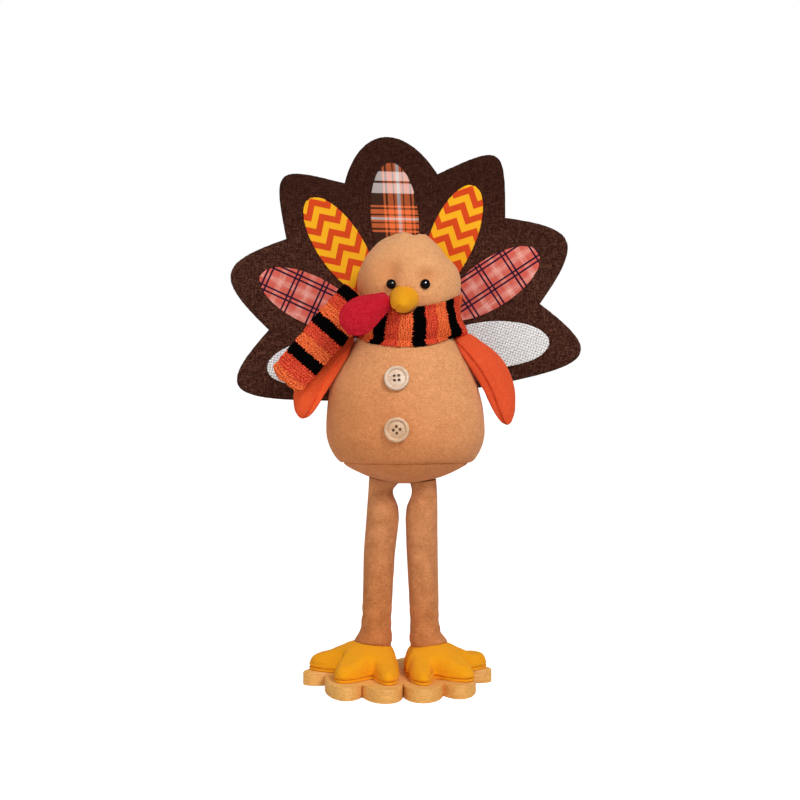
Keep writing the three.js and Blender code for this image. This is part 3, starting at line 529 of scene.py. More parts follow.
@dataclass(frozen=True)
class Yarn:
    """Knitted stripes of black, red and orange yarn."""

    name: str
    stripe: float
    loop: float = 2.5
    black: Colour = rgb(9, 8, 8)
    red: Colour = rgb(226, 70, 54)
    orange: Colour = rgb(255, 128, 70)
    # hollow is the painted shade colour between the loops
    hollow: Colour = rgb(150, 64, 48)
    fuzz: Colour = rgb(255, 150, 90)

    def material(self) -> Material:
        """Makes the material; the cloth attribute gives length, width and stitch height."""
        shade = Shade(self.name)
        along, across, height = shade.cloth()
        flat = shade.flat(along, across)
        ragged = shade.noise(2.8, 1, flat) - 0.5
        reach = along + ragged * 3.4 + (across.waved(self.loop) - 0.5) * 0.9
        step = reach.wrapped(3 * self.stripe) / self.stripe
        fleck = shade.noise(1.3, 2, flat, 0.7).soft(0.44, 0.62)
        red = shade.mix(fleck * 0.5, self.red, self.orange)
        orange = shade.mix(fleck * 0.5, self.orange, self.red)
        warm = shade.mix(step > 2, red, orange)
        colour = shade.mix(step < 1, warm, self.black)
        # painted shade in the hollows between the stitches
        hollow = 1 - height.soft(0.1, 0.6)
        colour = shade.mix(hollow * 0.8, colour, self.hollow, "MULTIPLY")
        fuzz = shade.noise(0.5, 3, flat, 0.7, 1.2)
        colour = shade.mix(fuzz.soft(0.6, 0.8) * 0.25, colour, self.fuzz, "SOFT_LIGHT")
        shade.relief(fuzz, 0.7, 0.35)
        return shade.fit(Base_Color=colour, Roughness=0.95, Specular_IOR_Level=0.0)


@dataclass(frozen=True)
class Plaid:
    """Brown, orange and white plaid in a fine twill."""

    name: str
    white: Colour = rgb(231, 221, 218)
    orange: Colour = rgb(252, 124, 70)
    brown: Colour = rgb(66, 42, 33)
    shadow: Colour = rgb(30, 20, 16)
    twill: float = 1.3
    thread: float = 0.65

    def bands(self, shade: Shade, place: Value, stops: Sequence[tuple[float, float, Colour]]) -> Value:
        """Colours the threads of one direction.

        Args:
            shade: The material.
            place: Distance across those threads, in millimetres.
            stops: Start, end and colour of each band laid over brown.

        Returns:
            The thread colour.
        """
        colour: Value | Colour = self.brown
        for low, high, tint in stops:
            inside = (place > low) * (place < high)
            colour = shade.mix(inside, colour, tint)
        return colour

    def material(self) -> Material:
        """Makes the material."""
        shade = Shade(self.name)
        side, down, _ = shade.cloth()
        across, along = side + down * 0.03, down - side * 0.12
        warp = self.bands(shade, across, [
            (-7.0, 18.4, self.orange), (-5.1, -3.4, self.brown), (1.3, 2.4, self.brown),
            (4.4, 7.3, self.white), (9.3, 10.4, self.brown), (15.2, 16.7, self.brown)])
        weft = self.bands(shade, along, [
            (7.4, 25.6, self.white), (15.2, 17.1, self.brown), (35.9, 58.6, self.orange),
            (37.6, 39.3, self.brown), (43.2, 44.5, self.brown), (46.1, 48.2, self.white),
            (50.0, 51.1, self.brown), (55.1, 56.7, self.brown), (68.8, 86.9, self.white)])
        slant = (across + along).wrapped(self.twill) / self.twill
        mix = shade.mix(slant.folded(1.0).soft(0.08, 0.34), warp, weft)
        threads = across.waved(self.thread) * 0.5 + along.waved(self.thread) * 0.5
        shade.relief(threads * 0.5 + slant.folded(1.0), 0.5, 0.25)
        colour = shade.mix(threads * 0.18, mix, self.shadow)
        return shade.fit(Base_Color=colour, Roughness=0.9, Specular_IOR_Level=0.0)


@dataclass(frozen=True)
class Zigzag:
    """Yellow and red chevrons printed on plain cotton."""

    name: str
    skew: float
    start: float
    side_start: float
    rise: float = 14.9
    run: float = 19.0
    yellow: Colour = rgb(248, 180, 38)
    red: Colour = rgb(214, 72, 32)
    yellow_speck: Colour = rgb(246, 166, 20)
    red_speck: Colour = rgb(236, 92, 44)
    thread: float = 0.5

    def material(self) -> Material:
        """Makes the material."""
        shade = Shade(self.name)
        across, along, _ = shade.cloth()
        side, down = leaned(across, along, self.skew)
        chevron = down - (side - self.side_start).folded(self.run) - self.start
        share = chevron.wrapped(self.rise) / self.rise
        edge = (share - 0.25).folded(1.0)
        print_mask = edge.soft(0.235, 0.265)
        speck = shade.noise(1.4, 3, shade.flat(across, along), 0.6).soft(0.45, 0.7)
        yellow = shade.mix(speck * 0.35, self.yellow, self.yellow_speck)
        red = shade.mix(speck * 0.4, self.red, self.red_speck)
        threads = across.waved(self.thread) * along.waved(self.thread)
        shade.relief(threads, 0.35, 0.2)
        return shade.fit(Base_Color=shade.mix(print_mask, red, yellow), Roughness=0.9, Specular_IOR_Level=0.0)


@dataclass(frozen=True)
class WindowCheck:
    """Rosy cotton with double navy lines and paler threads between them."""

    name: str
    skew: float
    side_start: float
    along_start: float
    side_window: float = 20.0
    along_window: float = 23.7
    gap: float = 3.7
    line: float = 1.5
    ground: Colour = rgb(214, 96, 82)
    pale: Colour = rgb(240, 186, 172)
    navy: Colour = rgb(30, 24, 48)
    thread: float = 0.7

    def lines(self, place: Value, window: float) -> Value:
        """Where the pair of lines of one direction runs."""
        from_pair = abs(place.folded(window) - self.gap / 2)
        return 1 - from_pair.soft(0.38 * self.line, 0.62 * self.line)

    @staticmethod
    def paler(place: Value, window: float) -> Value:
        """Where the paler threads of one direction run, midway between the lines."""
        return (window / 2 - place.folded(window)).soft(4.2, 0.6)

    def material(self) -> Material:
        """Makes the material."""
        shade = Shade(self.name)
        across, along, _ = shade.cloth()
        side, down = leaned(across, along, self.skew)
        side, down = side - self.side_start, down - self.along_start
        flat = shade.flat(side, down)
        slub_side, slub_down = (shade.noise(1.0, 2, shade.stretched(scale, place=flat))
                                for scale in ((1.6, 0.12, 1), (0.12, 1.6, 1)))
        lightness = (self.paler(side, self.side_window) * slub_side.soft(0.25, 0.65)
                     + self.paler(down, self.along_window) * slub_down.soft(0.25, 0.65)) * 0.5
        lightness = lightness + slub_side.soft(0.55, 0.8) * 0.25 + slub_down.soft(0.55, 0.8) * 0.25
        colour = shade.mix(lightness.math("MINIMUM", 1.0), self.ground, self.pale)
        broken = shade.noise(1.2, 2, flat).soft(0.28, 0.4) * 0.35 + 0.65
        drawn = self.lines(side, self.side_window).math("MAXIMUM", self.lines(down, self.along_window))
        colour = shade.mix(drawn * broken, colour, self.navy)
        weave = side.waved(self.thread) * 0.5 + down.waved(self.thread) * 0.5
        shade.relief(weave + slub_side * 0.4, 0.5, 0.2)
        return shade.fit(Base_Color=colour, Roughness=0.92, Specular_IOR_Level=0.0)


@dataclass(frozen=True)
class CoarseWeave:
    """Open plain weave of pale threads over a dark ground."""

    name: str
    thread: float = 2.2
    skew: float = 20.0
    pale: Colour = rgb(250, 250, 250)
    gap: Colour = rgb(48, 46, 46)
    slub: Colour = rgb(214, 212, 210)

    def material(self) -> Material:
        """Makes the material."""
        shade = Shade(self.name)
        across, along, _ = shade.cloth()
        flat = shade.flat(across, along)
        wobble = (shade.noise(4, 2, flat) - 0.5) * 0.5
        side, down = ((part + wobble) / self.thread for part in leaned(across, along, self.skew))
        column, row = side.math("FLOOR"), down.math("FLOOR")
        over = (column + row).wrapped(2.0) > 0.5
        warp = 1 - abs(side.wrapped(1.0) - 0.5) * 2
        weft = 1 - abs(down.wrapped(1.0) - 0.5) * 2
        thread = over * warp + (1 - over) * weft
        slub = shade.noise(2.2, 3, flat, 0.7)
        cover = (thread + (slub - 0.5) * 0.7).soft(0.03, 0.32)
        colour = shade.mix(cover, self.gap, self.pale)
        colour = shade.mix(slub.soft(0.5, 0.75) * 0.15, colour, self.slub)
        shade.relief(thread, 0.9, 0.5)
        return shade.fit(Base_Color=colour, Roughness=0.93, Specular_IOR_Level=0.0)


@dataclass(frozen=True)
class Wood:
    """Planed wood with grain along X, with painted shade inside its drilled holes."""

    name: str
    pale: Colour
    dark: Colour
    roughness: float = 0.55
    ring: float = 2.6
    hole_shade: Colour = rgb(52, 30, 20)

    def material(self) -> Material:
        """Makes the material."""
        shade = Shade(self.name)
        grain = shade.noise(self.ring, 3, shade.stretched((0.05, 1, 1.1)), 0.55, 0.5)
        pores = shade.noise(0.5, 2, shade.stretched((0.08, 1, 1)), 0.7)
        broad = shade.noise(28, 2, shade.stretched((0.3, 1, 1)))
        tone = grain * 0.55 + pores * 0.2 + broad * 0.25
        # painted shade inside the drilled holes, on the faces the button marks
        hole_shade = shade.node("ShaderNodeAttribute", {"attribute_name": "hole_shade"}, out="Fac")
        colour = shade.mix(tone.soft(0.36, 0.66), self.pale, self.dark)
        colour = shade.mix(hole_shade, colour, self.hole_shade)
        shade.relief(grain * 0.4 + pores * 0.6, 0.3, 0.15)
        return shade.fit(Base_Color=colour, Roughness=pores * 0.2 + (self.roughness - 0.1),
                         Specular_IOR_Level=0.1)


@dataclass(frozen=True)
class Bead:
    """Polished black plastic."""

    name: str
    black: Colour = rgb(2, 2, 2)
    smear: Colour = rgb(6, 5, 5)

    def material(self) -> Material:
        """Makes the material."""
        shade = Shade(self.name)
        smear = shade.noise(2.5, 2)
        colour = shade.mix(smear, self.black, self.smear)
        return shade.fit(Base_Color=colour, Roughness=smear * 0.04 + 0.1, Specular_IOR_Level=0.1)


@dataclass(frozen=True)
class PlainStock:
    """Steel and card, which hardly show."""

    name: str
    colour: Colour
    other: Colour
    roughness: float
    metal: float = 0.0

    def material(self) -> Material:
        """Makes the material."""
        shade = Shade(self.name)
        cloud = shade.noise(1.2, 3, shade.stretched((0.4, 1, 1)))
        colour = shade.mix(cloud.soft(0.35, 0.65), self.colour, self.other)
        shade.relief(cloud, 0.25, 0.1)
        return shade.fit(Base_Color=colour, Roughness=cloud * 0.15 + self.roughness, Metallic=self.metal)


class Finish(Enum):
    """The figure's finishes, each made once."""

    # Body, head and legs are one fleece; their tones differ as painted light and shade, the legs darkest
    FLEECE = Fleece("fleece_body", rgb(243, 175, 122), rgb(203, 182, 162), rgb(235, 157, 101),
                    middle=(6.0, 232.0))
    HEAD_FLEECE = Fleece("fleece_head", rgb(243, 180, 126), rgb(214, 198, 182), rgb(241, 161, 105),
                         middle=(9.0, 322.0), spread=30.0)
    LEG_FLEECE = Fleece("fleece_leg", rgb(226, 155, 104), rgb(196, 178, 164), rgb(217, 138, 80),
                        middle=(2.0, 80.0), spread=60.0, mottle=0.34)
    YELLOW_FELT = Felt("felt_yellow", rgb(240, 158, 22), rgb(250, 182, 52))
    BEAK_FELT = Felt("felt_beak", rgb(228, 152, 22), rgb(240, 174, 48))
    # The wings are one orange felt; the left copy is lighter and the right darker, painted light and shade
    # against the key light
    LEFT_WING_FELT = Felt("felt_orange_left", rgb(234, 86, 42), rgb(248, 116, 72))
    RIGHT_WING_FELT = Felt("felt_orange_right", rgb(219, 78, 42), rgb(236, 110, 68))
    RED_FELT = Felt("felt_red", rgb(178, 22, 38), rgb(216, 52, 66), contrast=0.6)
    BROWN_FELT = Felt("felt_brown", rgb(44, 21, 15), rgb(112, 72, 58), contrast=0.95, depth=0.4,
                      shade_above=335.0)
    WRAP_KNIT = Yarn("knit_wrap", stripe=11.0)
    TAIL_KNIT = Yarn("knit_tail", stripe=10.3)
    PLAID = Plaid("cloth_plaid")
    LEFT_ZIGZAG = Zigzag("cloth_zigzag_left", skew=0.4, start=0.0, side_start=0.75)
    RIGHT_ZIGZAG = Zigzag("cloth_zigzag_right", skew=4.5, start=3.3, side_start=-0.9)
    LEFT_CHECK = WindowCheck("cloth_check_left", skew=-1.4, side_start=12.0, along_start=5.8)
    RIGHT_CHECK = WindowCheck("cloth_check_right", skew=3.7, side_start=7.0, along_start=3.3)
    COARSE_WEAVE = CoarseWeave("cloth_coarse_weave")
    BOARD_WOOD = Wood("wood_board", rgb(248, 189, 103), rgb(218, 150, 73), ring=1.5)
    DOWEL_WOOD = Wood("wood_dowel", rgb(226, 196, 150), rgb(204, 168, 118))
    PALE_BUTTON = Wood("wood_button_pale", rgb(226, 199, 175), rgb(203, 172, 145), roughness=0.5, ring=1.4)
    TAN_BUTTON = Wood("wood_button_tan", rgb(222, 184, 149), rgb(194, 155, 120), roughness=0.5, ring=1.4)
    BEAD = Bead("bead_black")
    STEEL = PlainStock("steel_screw", rgb(200, 202, 206), rgb(176, 178, 184), roughness=0.3, metal=1.0)
    CARD = PlainStock("grey_card", rgb(176, 150, 112), rgb(158, 132, 96), roughness=0.85)

    def material(self) -> Material:
        """The finish's material, made the first time it is asked for."""
        return bpy.data.materials.get(self.value.name) or self.value.material()


def dress(piece: Piece, finish: Finish, nodes: Sequence[str], body: str = "figure") -> Piece:
    """Gives a piece its finish and its place in the frame.

    Args:
        piece: The modelled piece.
        finish: What it is made of.
        nodes: The CAD nodes it stands for.
        body: The CAD body it moves with, or nothing to leave it unattached.

    Returns:
        The piece.
    """
    piece.data.materials.clear()
    piece.data.materials.append(finish.material())
    if body:
        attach(piece, body)
    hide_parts(*nodes)
    LOG.info("%s: %s, %d faces", piece.name, finish.value.name, len(piece.data.polygons))
    return piece


def sew_to_figure(piece: Piece, root: Array, down: Array, before: float,
                  after: float) -> None:
    """Bakes a hanging piece's place into its mesh; the span where it would bend at its sewn root is worked
    out but not used.

    Args:
        piece: The finished piece.
        root: The joint's place.
        down: The way it hangs.
        before: How far above the joint that span starts.
        after: How far below the joint that span ends.
    """
    start, end = tuple((root - before * down) * MM), tuple((root + after * down) * MM)
    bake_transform(piece)


class Side(Enum):
    """The viewer's left and right."""

    LEFT = -1
    RIGHT = 1

    @property
    def word(self) -> str:
        """The side's name in lower case."""
        return self.name.lower()


# Sub-assemblies


class RoundForm:
    """A stuffed form that is round in plan and flattened front to back."""

    x: float
    y: float
    width: float
    depth: float
    profile: Array
    span: tuple[float, float]

    @property
    def flatness(self) -> float:
        """Depth as a share of width."""
        return self.depth / self.width

    def half_width(self, z: Array) -> Array:
        """Half its width at a height."""
        return np.interp(z, self.profile[:, 1], self.profile[:, 0])

    def keep_out(self, points: Array, gap: float) -> Array:
        """Moves points that lie in the form out to a gap from it."""
        out = points.copy()
        across, through = points[..., 0] - self.x, (points[..., 1] - self.y) / self.flatness
        z, (low, high) = points[..., 2], self.span
        least = np.where((z > low) & (z < high), self.half_width(z) + gap, 0)
        grow = np.maximum(1, least / np.maximum(np.hypot(across, through), 1e-6))
        out[..., 0] = self.x + across * grow
        out[..., 1] = self.y + through * grow * self.flatness
        return out

    def front(self, side: float, z: float) -> Array:
        """The point on the front at a sideways distance from the axis."""
        reach = math.sqrt(self.half_width(np.array(z)) ** 2 - side**2)
        return np.array([self.x + side, self.y - self.flatness * reach, z])

    def front_normal(self, side: float, z: float) -> Array:
        """Outward direction there."""
        over = (self.front(side + 1, z) - self.front(side - 1, z))[1] / 2
        up = (self.front(side, z + 1) - self.front(side, z - 1))[1] / 2
        return unit(np.array([over, -1.0, up]))


@dataclass
class Body(RoundForm):
    """Stuffed pear with a sewn-in bottom panel."""

    x: float = 6.0
    y: float = 0.0
    width: float = 129.0
    depth: float = 106.0
    bottom: float = 167.6
    seam_z: float = 184.6
    seam_width: float = 103.0
    seam_depth: float = 1.7
    seam_lift: float = 1.7
    side_seam: float = 0.8
    side_turn: float = 0.12
    widest_z: float = 210.6
    neck_z: float = 295.6
    neck_width: float = 52.0
    neck_clear: float = 30.0
    back: float = 44.54
    press_z: float = 219.8
    press_run: float = 14.0
    full_z: float = 250.0
    fullness: float = 2.8
    panel: Array = field(init=False)
    profile: Array = field(init=False)

    def __post_init__(self) -> None:
        """Works out the profiles of the panel and of the whole."""
        seam, wide, neck = self.seam_width / 2, self.width / 2, self.neck_width / 2
        low, rise = self.widest_z - self.seam_z, self.neck_z - self.widest_z
        drop = self.seam_z - self.bottom
        self.panel = bezier([(0, self.bottom), (0.4 * seam, self.bottom),
                             (0.8 * seam, self.seam_z - 0.55 * drop), (seam, self.seam_z)], 46)
        lower = bezier([(seam, self.seam_z), (seam + 0.5 * (wide - seam), self.seam_z + 0.14 * low),
                        (wide, self.widest_z - 0.45 * low), (wide, self.widest_z)], 34)
        upper = bezier([(wide, self.widest_z), (wide, self.widest_z + 0.41 * rise),
                        (neck + 0.52 * (wide - neck), self.neck_z - 0.07 * rise), (neck, self.neck_z)], 80)
        self.profile = np.vstack([self.panel, lower[1:], upper[1:]])
        self.span = (self.bottom, self.neck_z)

    def underside(self, x: Array, y: Array) -> Array:
        """Height of the bottom panel over a place in plan."""
        reach = np.hypot(x - self.x, y / self.flatness)
        return np.interp(reach, self.panel[:, 0], self.panel[:, 1])

    def build(self) -> None:
        """Models the body as one sewn and stuffed form."""
        top = np.array([(r, self.neck_z) for r in np.linspace(self.neck_width / 2, 0, 6)[1:]])
        coarse = np.vstack([self.profile, top])
        run = np.concatenate([[0], np.cumsum(np.linalg.norm(np.diff(coarse, axis=0), axis=1))])
        seam = run[len(self.panel) - 1]
        fine = np.unique(np.concatenate([run, np.arange(seam - 4, seam + 4, 0.28)]))
        form = lathe(np.stack([np.interp(fine, run, part) for part in coarse.T], -1), 260).points
        from_seam, to_neck = (fine - seam)[:, None], (fine[-1] - fine)[:, None]
        angle = np.arctan2(form[1:2, :, 1], form[1:2, :, 0])
        ahead = np.clip(-np.sin(angle), 0, 1) ** 2
        form[..., 1] *= self.flatness
        form[..., 2] += self.seam_lift * ahead * bell(from_seam, 16)
        pressed = eased(form[..., 2], self.press_z - self.press_run, self.press_z)
        form[..., 1] -= np.maximum(form[..., 1] - self.back, 0) * pressed
        form[..., 0] += self.x
        amount = self.seams(angle, ahead, from_seam)
        amount = amount + 0.75 * lumps(form, 34, 3) + 0.3 * lumps(form, 13, 4)
        leftward = np.clip(-np.cos(angle), 0, 1) ** 2
        amount = amount + self.fullness * bell(form[..., 2] - self.full_z, 22) * leftward
        amount = amount * eased(self.back - form[..., 1], -0.2, 6) * (to_neck > self.neck_clear)
        piece = Surface(form).pushed(amount).build("body_fleece")
        dress(piece, Finish.FLEECE, ["body_cover", "body_bottom_panel", "body_filling"])

    def seams(self, angle: Array, ahead: Array, from_seam: Array) -> Array:
        """The grooves of the sewn lines and the puckers beside them.

        Args:
            angle: Directions round the body.
            ahead: 1 straight ahead, falling to 0 at the sides.
            from_seam: Distance over the cloth from the panel's seam.

        Returns:
            How far the cloth is moved outward.
        """
        pucker = np.sin(angle * 41 + 2.2 * np.sin(angle * 5)) * bell(np.abs(from_seam) - 3.2, 2.6)
        round_seam = -self.seam_depth * bell(from_seam, 0.75) * (0.65 + 0.35 * ahead)
        round_seam = round_seam + 0.4 * bell(from_seam - 5, 4) + 0.2 * pucker
        right, left = np.abs(angle + self.side_turn), np.abs(np.abs(angle) - np.pi + self.side_turn)
        beside = np.minimum(right, left) * self.width / 2
        side_seam = 0.25 * bell(beside - 3, 2.5) - self.side_seam * bell(beside, 1.1)
        return round_seam + side_seam * eased(from_seam, 0, 3)


@dataclass
class Head(RoundForm):
    """Stuffed ball with a gathered crown, dented over the eyes."""

    x: float = 9.0
    y: float = 3.943
    bottom: float = 295.9
    width: float = 85.0
    depth: float = 82.0
    height: float = 75.0
    widest: float = 35.0
    neck_width: float = 52.0
    crown_width: float = 26.0
    dimple: float = 2.5
    back: float = 43.443
    eye_side: float = -1.0
    eye_spacing: float = 27.0
    eye_height: float = 34.0
    eye_diameter: float = 8.0
    eye_dome: float = 3.4
    left_dent: float = 4.4
    right_dent: float = 3.9
    brow: float = 4.2
    profile: Array = field(init=False)

    def __post_init__(self) -> None:
        """Works out the profile."""
        wide, neck, crown = self.width / 2, self.neck_width / 2, self.crown_width / 2
        mid, top = self.bottom + self.widest, self.bottom + self.height
        lower = bezier([(neck, self.bottom), (neck + 0.6 * (wide - neck), self.bottom + 0.05 * self.widest),
                        (wide, mid - 0.5 * self.widest), (wide, mid)], 50)
        upper = bezier([(wide, mid), (wide, mid + 0.5 * (top - mid)),
                        (crown + 0.5 * (wide - crown), top - 0.06 * self.height), (crown, top)], 70)
        self.profile = np.vstack([lower, upper[1:]])
        self.span = (self.bottom - 1, top)

    def build(self) -> None:
        """Models the head and the two eyes."""
        crown = np.array([(self.crown_width / 2 * s, self.bottom + self.height - self.dimple * (1 - s**1.5))
                          for s in np.linspace(1, 0, 14)[1:]])
        floor = np.array([(self.neck_width / 2 * s, self.bottom) for s in np.linspace(0, 1, 5)[:-1]])
        form = lathe(np.vstack([floor, self.profile, crown]), 200).points
        form[..., 1] *= self.flatness
        form[..., 0] += self.x
        form[..., 1] = np.minimum(form[..., 1] + self.y, self.back)
        amount, pressed = self.face(form)
        from_top = np.hypot(form[..., 0] - self.x, form[..., 1] - self.y)
        angle = np.arctan2(form[..., 1] - self.y, form[..., 0] - self.x)
        up = form[..., 2] - self.bottom
        high = eased(up, 52, 72)
        amount = amount - self.brow * bell(up - 62, 11) * bell(angle_from(angle, -0.15), 0.9)
        gather = np.sin(7 * angle + 1.1) + 0.6 * np.sin(12 * angle)
        amount = amount + 0.35 * gather * high * bell(from_top - 12, 9)
        shaped = Surface(form).pushed(amount * eased(self.back - form[..., 1], -0.2, 5))
        ears = 1.9 + 1.3 * np.cos(2 * np.pi * (form[..., 0] - self.x + 4.5) / 18.5)
        shaped.points[..., 2] += ears * bell(from_top, 15) * high
        # the dents go into the cloth attribute, for the fleece's painted shade in them
        piece = shaped.build("head_fleece", np.stack([pressed, 0 * pressed, 0 * pressed], -1))
        dress(piece, Finish.HEAD_FLEECE, ["head_cover", "head_filling"])
        for side in Side:
            self.build_eye(side)

    def face(self, form: Array) -> tuple[Array, Array]:
        """The dents over the eyes, the pull of the eyes' threads and the soft nose between them.

        Args:
            form: The head's points.

        Returns:
            How far they are moved outward, and where they are pressed in, which the fleece darkens as painted
            shade.
        """
        amount = 0.55 * lumps(form, 26, 11) + 0.25 * lumps(form, 9, 12)
        pressed = np.zeros_like(amount)
        ahead = form[..., 1] < self.y
        for side in Side:
            spot = self.front(*self.eye_place(side))
            over, up = form[..., 0] - spot[0], form[..., 2] - spot[2]
            if side is Side.LEFT:
                dent, depth = ahead * mound(over - 0.3 * up + 4.0, up - 11, 9.0, 9.5), self.left_dent
            else:
                dent, depth = ahead * mound(over - 2.0, up - 7.5, 8.5, 5.6), self.right_dent
            pressed = np.maximum(pressed, dent)
            ring = np.hypot(over, up)
            pull = 0.7 * bell(ring - 10, 4) * (up < 0) - 1.2 * bell(ring, 5.5)
            amount = amount - depth * dent + ahead * pull
        nose = mound(form[..., 0] - self.x - self.eye_side, form[..., 2] - spot[2] - 12, 8, 12)
        return amount + ahead * 0.9 * nose, pressed

    def eye_place(self, side: Side) -> tuple[float, float]:
        """An eye's distance from the axis, and its height."""
        return self.eye_side + side.value * self.eye_spacing / 2, self.bottom + self.eye_height

    def build_eye(self, side: Side) -> None:
        """Models one domed eye on its stem."""
        radius = self.eye_diameter / 2
        arc = np.linspace(0, np.pi / 2, 22)
        dome = np.stack([radius * np.cos(arc) ** 0.9, self.eye_dome * np.sin(arc)], -1)
        dome[-1, 0] = 0
        profile = np.vstack([[(0, -9), (1.5, -9), (1.5, -0.2), (radius - 0.4, -0.2)], dome])
        place = self.eye_place(side)
        normal = self.front_normal(*place)
        eye = lathe(profile, 48)
        eye.points = aimed(eye.points, self.front(*place) + SEAT * normal, normal)
        dress(eye.build(f"{side.word}_eye_bead"), Finish.BEAD, [f"{side.word}_eye"])


@dataclass
class Beak:
    """Blunt felt cone sewn to the face."""

    width: float = 22.0
    length: float = 22.0
    side: float = -4.0
    height: float = 22.0
    turn: float = 10.0
    droop: float = 13.0
    sunk: float = 0.3
    squash: float = 0.93
    seam: float = -2.5

    def axis(self, head: Head) -> tuple[Array, Array]:
        """Where the beak's axis leaves the face, and its direction."""
        root = head.front(self.side, head.bottom + self.height)
        turn, droop = math.radians(self.turn), math.radians(self.droop)
        aim = np.array([-math.sin(turn), -math.cos(turn) * math.cos(droop), -math.sin(droop)])
        return root, unit(aim)

    def radius_at(self, along: Array) -> Array:
        """Its radius at a distance along the axis."""
        share = np.clip(along / self.length, 0, 1)
        return 0.5 * self.width * (1 - share**2.2) ** 0.75

    def keep_out(self, points: Array, head: Head, gap: float) -> Array:
        """Moves points that lie in the beak away from its axis to a gap from it."""
        root, aim = self.axis(head)
        offset = points - root
        along = offset @ aim
        square = offset - along[..., None] * aim
        reach = np.linalg.norm(square, axis=-1)
        least = np.where((along > -7) & (along < self.length), self.radius_at(along) + gap, 0)
        grow = np.maximum(1, least / np.maximum(reach, 1e-6))
        return root + along[..., None] * aim + square * grow[..., None]

    def build(self, head: Head) -> None:
        """Models the beak with its sewn edge on the lower left."""
        root, aim = self.axis(head)
        share = 1 - (1 - np.linspace(0, 1, 46)) ** 1.5
        wall = np.stack([self.radius_at(share * self.length), share * self.length], -1)
        sunk = -self.sunk * self.length
        base = np.array([(0, sunk), (0.35 * self.width, sunk), (0.5 * self.width, sunk),
                         (0.5 * self.width, 0.5 * sunk)])
        surface = lathe(np.vstack([base, wall]), 96)
        form = surface.points
        angle = np.arctan2(form[..., 1], form[..., 0])
        seam = np.abs(angle_from(angle, self.seam)) * np.hypot(form[..., 0], form[..., 1])
        amount = -0.6 * bell(seam, 0.9) + 0.25 * bell(seam - 2.4, 1.8) + 0.35 * lumps(form, 8, 21)
        surface = surface.pushed(amount * eased(form[..., 2], 0, 4))
        surface.points[..., 1] *= self.squash
        surface.points = head.keep_out(aimed(surface.points, root, aim), SEAT)
        piece = dress(surface.build("beak_felt"), Finish.BEAK_FELT, ["beak"])


def drop_size(share: Array, root: float, full: float, fullest: float, blunt: float) -> Array:
    """Half size along a drop that swells from a narrow root to a full outer part.

    Args:
        share: Places along it, from 0 to 1.
        root: Half size at the root.
        full: Half size where it is fullest.
        fullest: Where that is.
        blunt: How square its end is, 2 for an ellipse.

    Returns:
        The half size at each place.
    """
    swell = np.where(share < fullest, np.sin(np.pi * np.minimum(share, fullest) / (2 * fullest)) ** 1.3, 1)
    past = np.clip((share - fullest) / (1 - fullest), 0, 1)
    opening = np.sqrt(1 - np.clip(1 - share / 0.06, 0, 1) ** 2)
    return (root + (full - root) * swell) * np.sqrt(1 - past**blunt) * opening


@dataclass
class StuffedLeaf:
    """Two felt panels sewn round their edge and stuffed, hanging along -Z from a root."""

    length: float
    width: float
    thickness: float
    root_width: float
    root_thickness: float
    fullest: float
    bow: float = 0.0
    seams: tuple[float, ...] = (0.0, 180.0)
    ridge: float = 0.55
    tucks: float = 0.85
    wander: float = 0.0
    seed: int = 1
    blunt: float = 2.0
    lip: float = 0.0

    def surface(self) -> Surface:
        """The leaf's skin with its sewn edges."""
        rows, sides = 170, 260
        share = (0.5 - 0.5 * np.cos(np.pi * np.linspace(0, 1, rows)))[:, None]
        angle = ring_angles(sides)[None]
        half = drop_size(share, self.root_width / 2, self.width / 2, self.fullest, self.blunt)
        thick = drop_size(share, self.root_thickness, self.thickness / 2, self.fullest, self.blunt)
        across = self.bow * np.sin(np.pi * share) + half * np.cos(angle)
        through = thick * np.sin(angle) * np.abs(np.sin(angle)) ** 0.2
        form = Surface(np.stack([across, through, -self.length * share + 0 * angle], -1))
        amount = 0.45 * lumps(form.points, 16, self.seed) + 0.2 * lumps(form.points, 6, self.seed + 1)
        for seam in self.seams:
            line = math.radians(seam) + self.wander * share
            beside = angle_from(angle, line) * np.hypot(half, thick) * 0.8
            away = np.abs(beside)
            amount = amount + abs(self.lip) * bell(beside - math.copysign(1.5, self.lip), 0.7)
            tuck = 0.8 + 0.2 * np.sin(share * self.length * 2.1)
            amount = amount + self.ridge * bell(away, 0.6) - self.tucks * bell(away - 1.7, 0.8) * tuck
            amount = amount + 0.25 * bell(away - 4.5, 2.5)
        ends = eased(share, 0.0, 0.05) * eased(1 - share, 0.0, 0.03)
        return form.pushed(amount * ends)


@dataclass
class Snood:
    """Red felt drop beside the beak."""

    place: tuple[float, float, float] = (-13.903, -36.589, 318.727)
    slant: float = 50.0
    rest_y: float = -45.72
    root_shift: float = 4.2
    leaf: StuffedLeaf = field(default_factory=lambda: StuffedLeaf(
        length=47, width=28, thickness=12, root_width=12, root_thickness=4.32, fullest=0.66,
        seams=(180.0, 352.0), seed=31))

    def build(self) -> None:
        """Models the snood at its root."""
        surface = self.leaf.surface()
        root_half = self.leaf.root_width / 2
        near_root = bell(surface.points[..., 2] / self.leaf.length, 0.3)
        surface.points[..., 0] += self.root_shift * near_root
        run = self.leaf.fullest * self.leaf.length - root_half
        lean = math.degrees(math.asin(min(0.7, max(0.0, (self.place[1] - self.rest_y) / run))))
        form = surface.points + np.array([0, 0, root_half])
        form = turned(turned(form, "X", -lean), "Y", self.slant)
        surface.points = form + np.array(self.place)
        piece = dress(surface.build("snood_felt"), Finish.RED_FELT, ["snood"], body="")
        down = turned(turned(np.array([0, 0, -1.0]), "X", -lean), "Y", self.slant)
        sew_to_figure(piece, np.array(self.place), down, before=4, after=10)


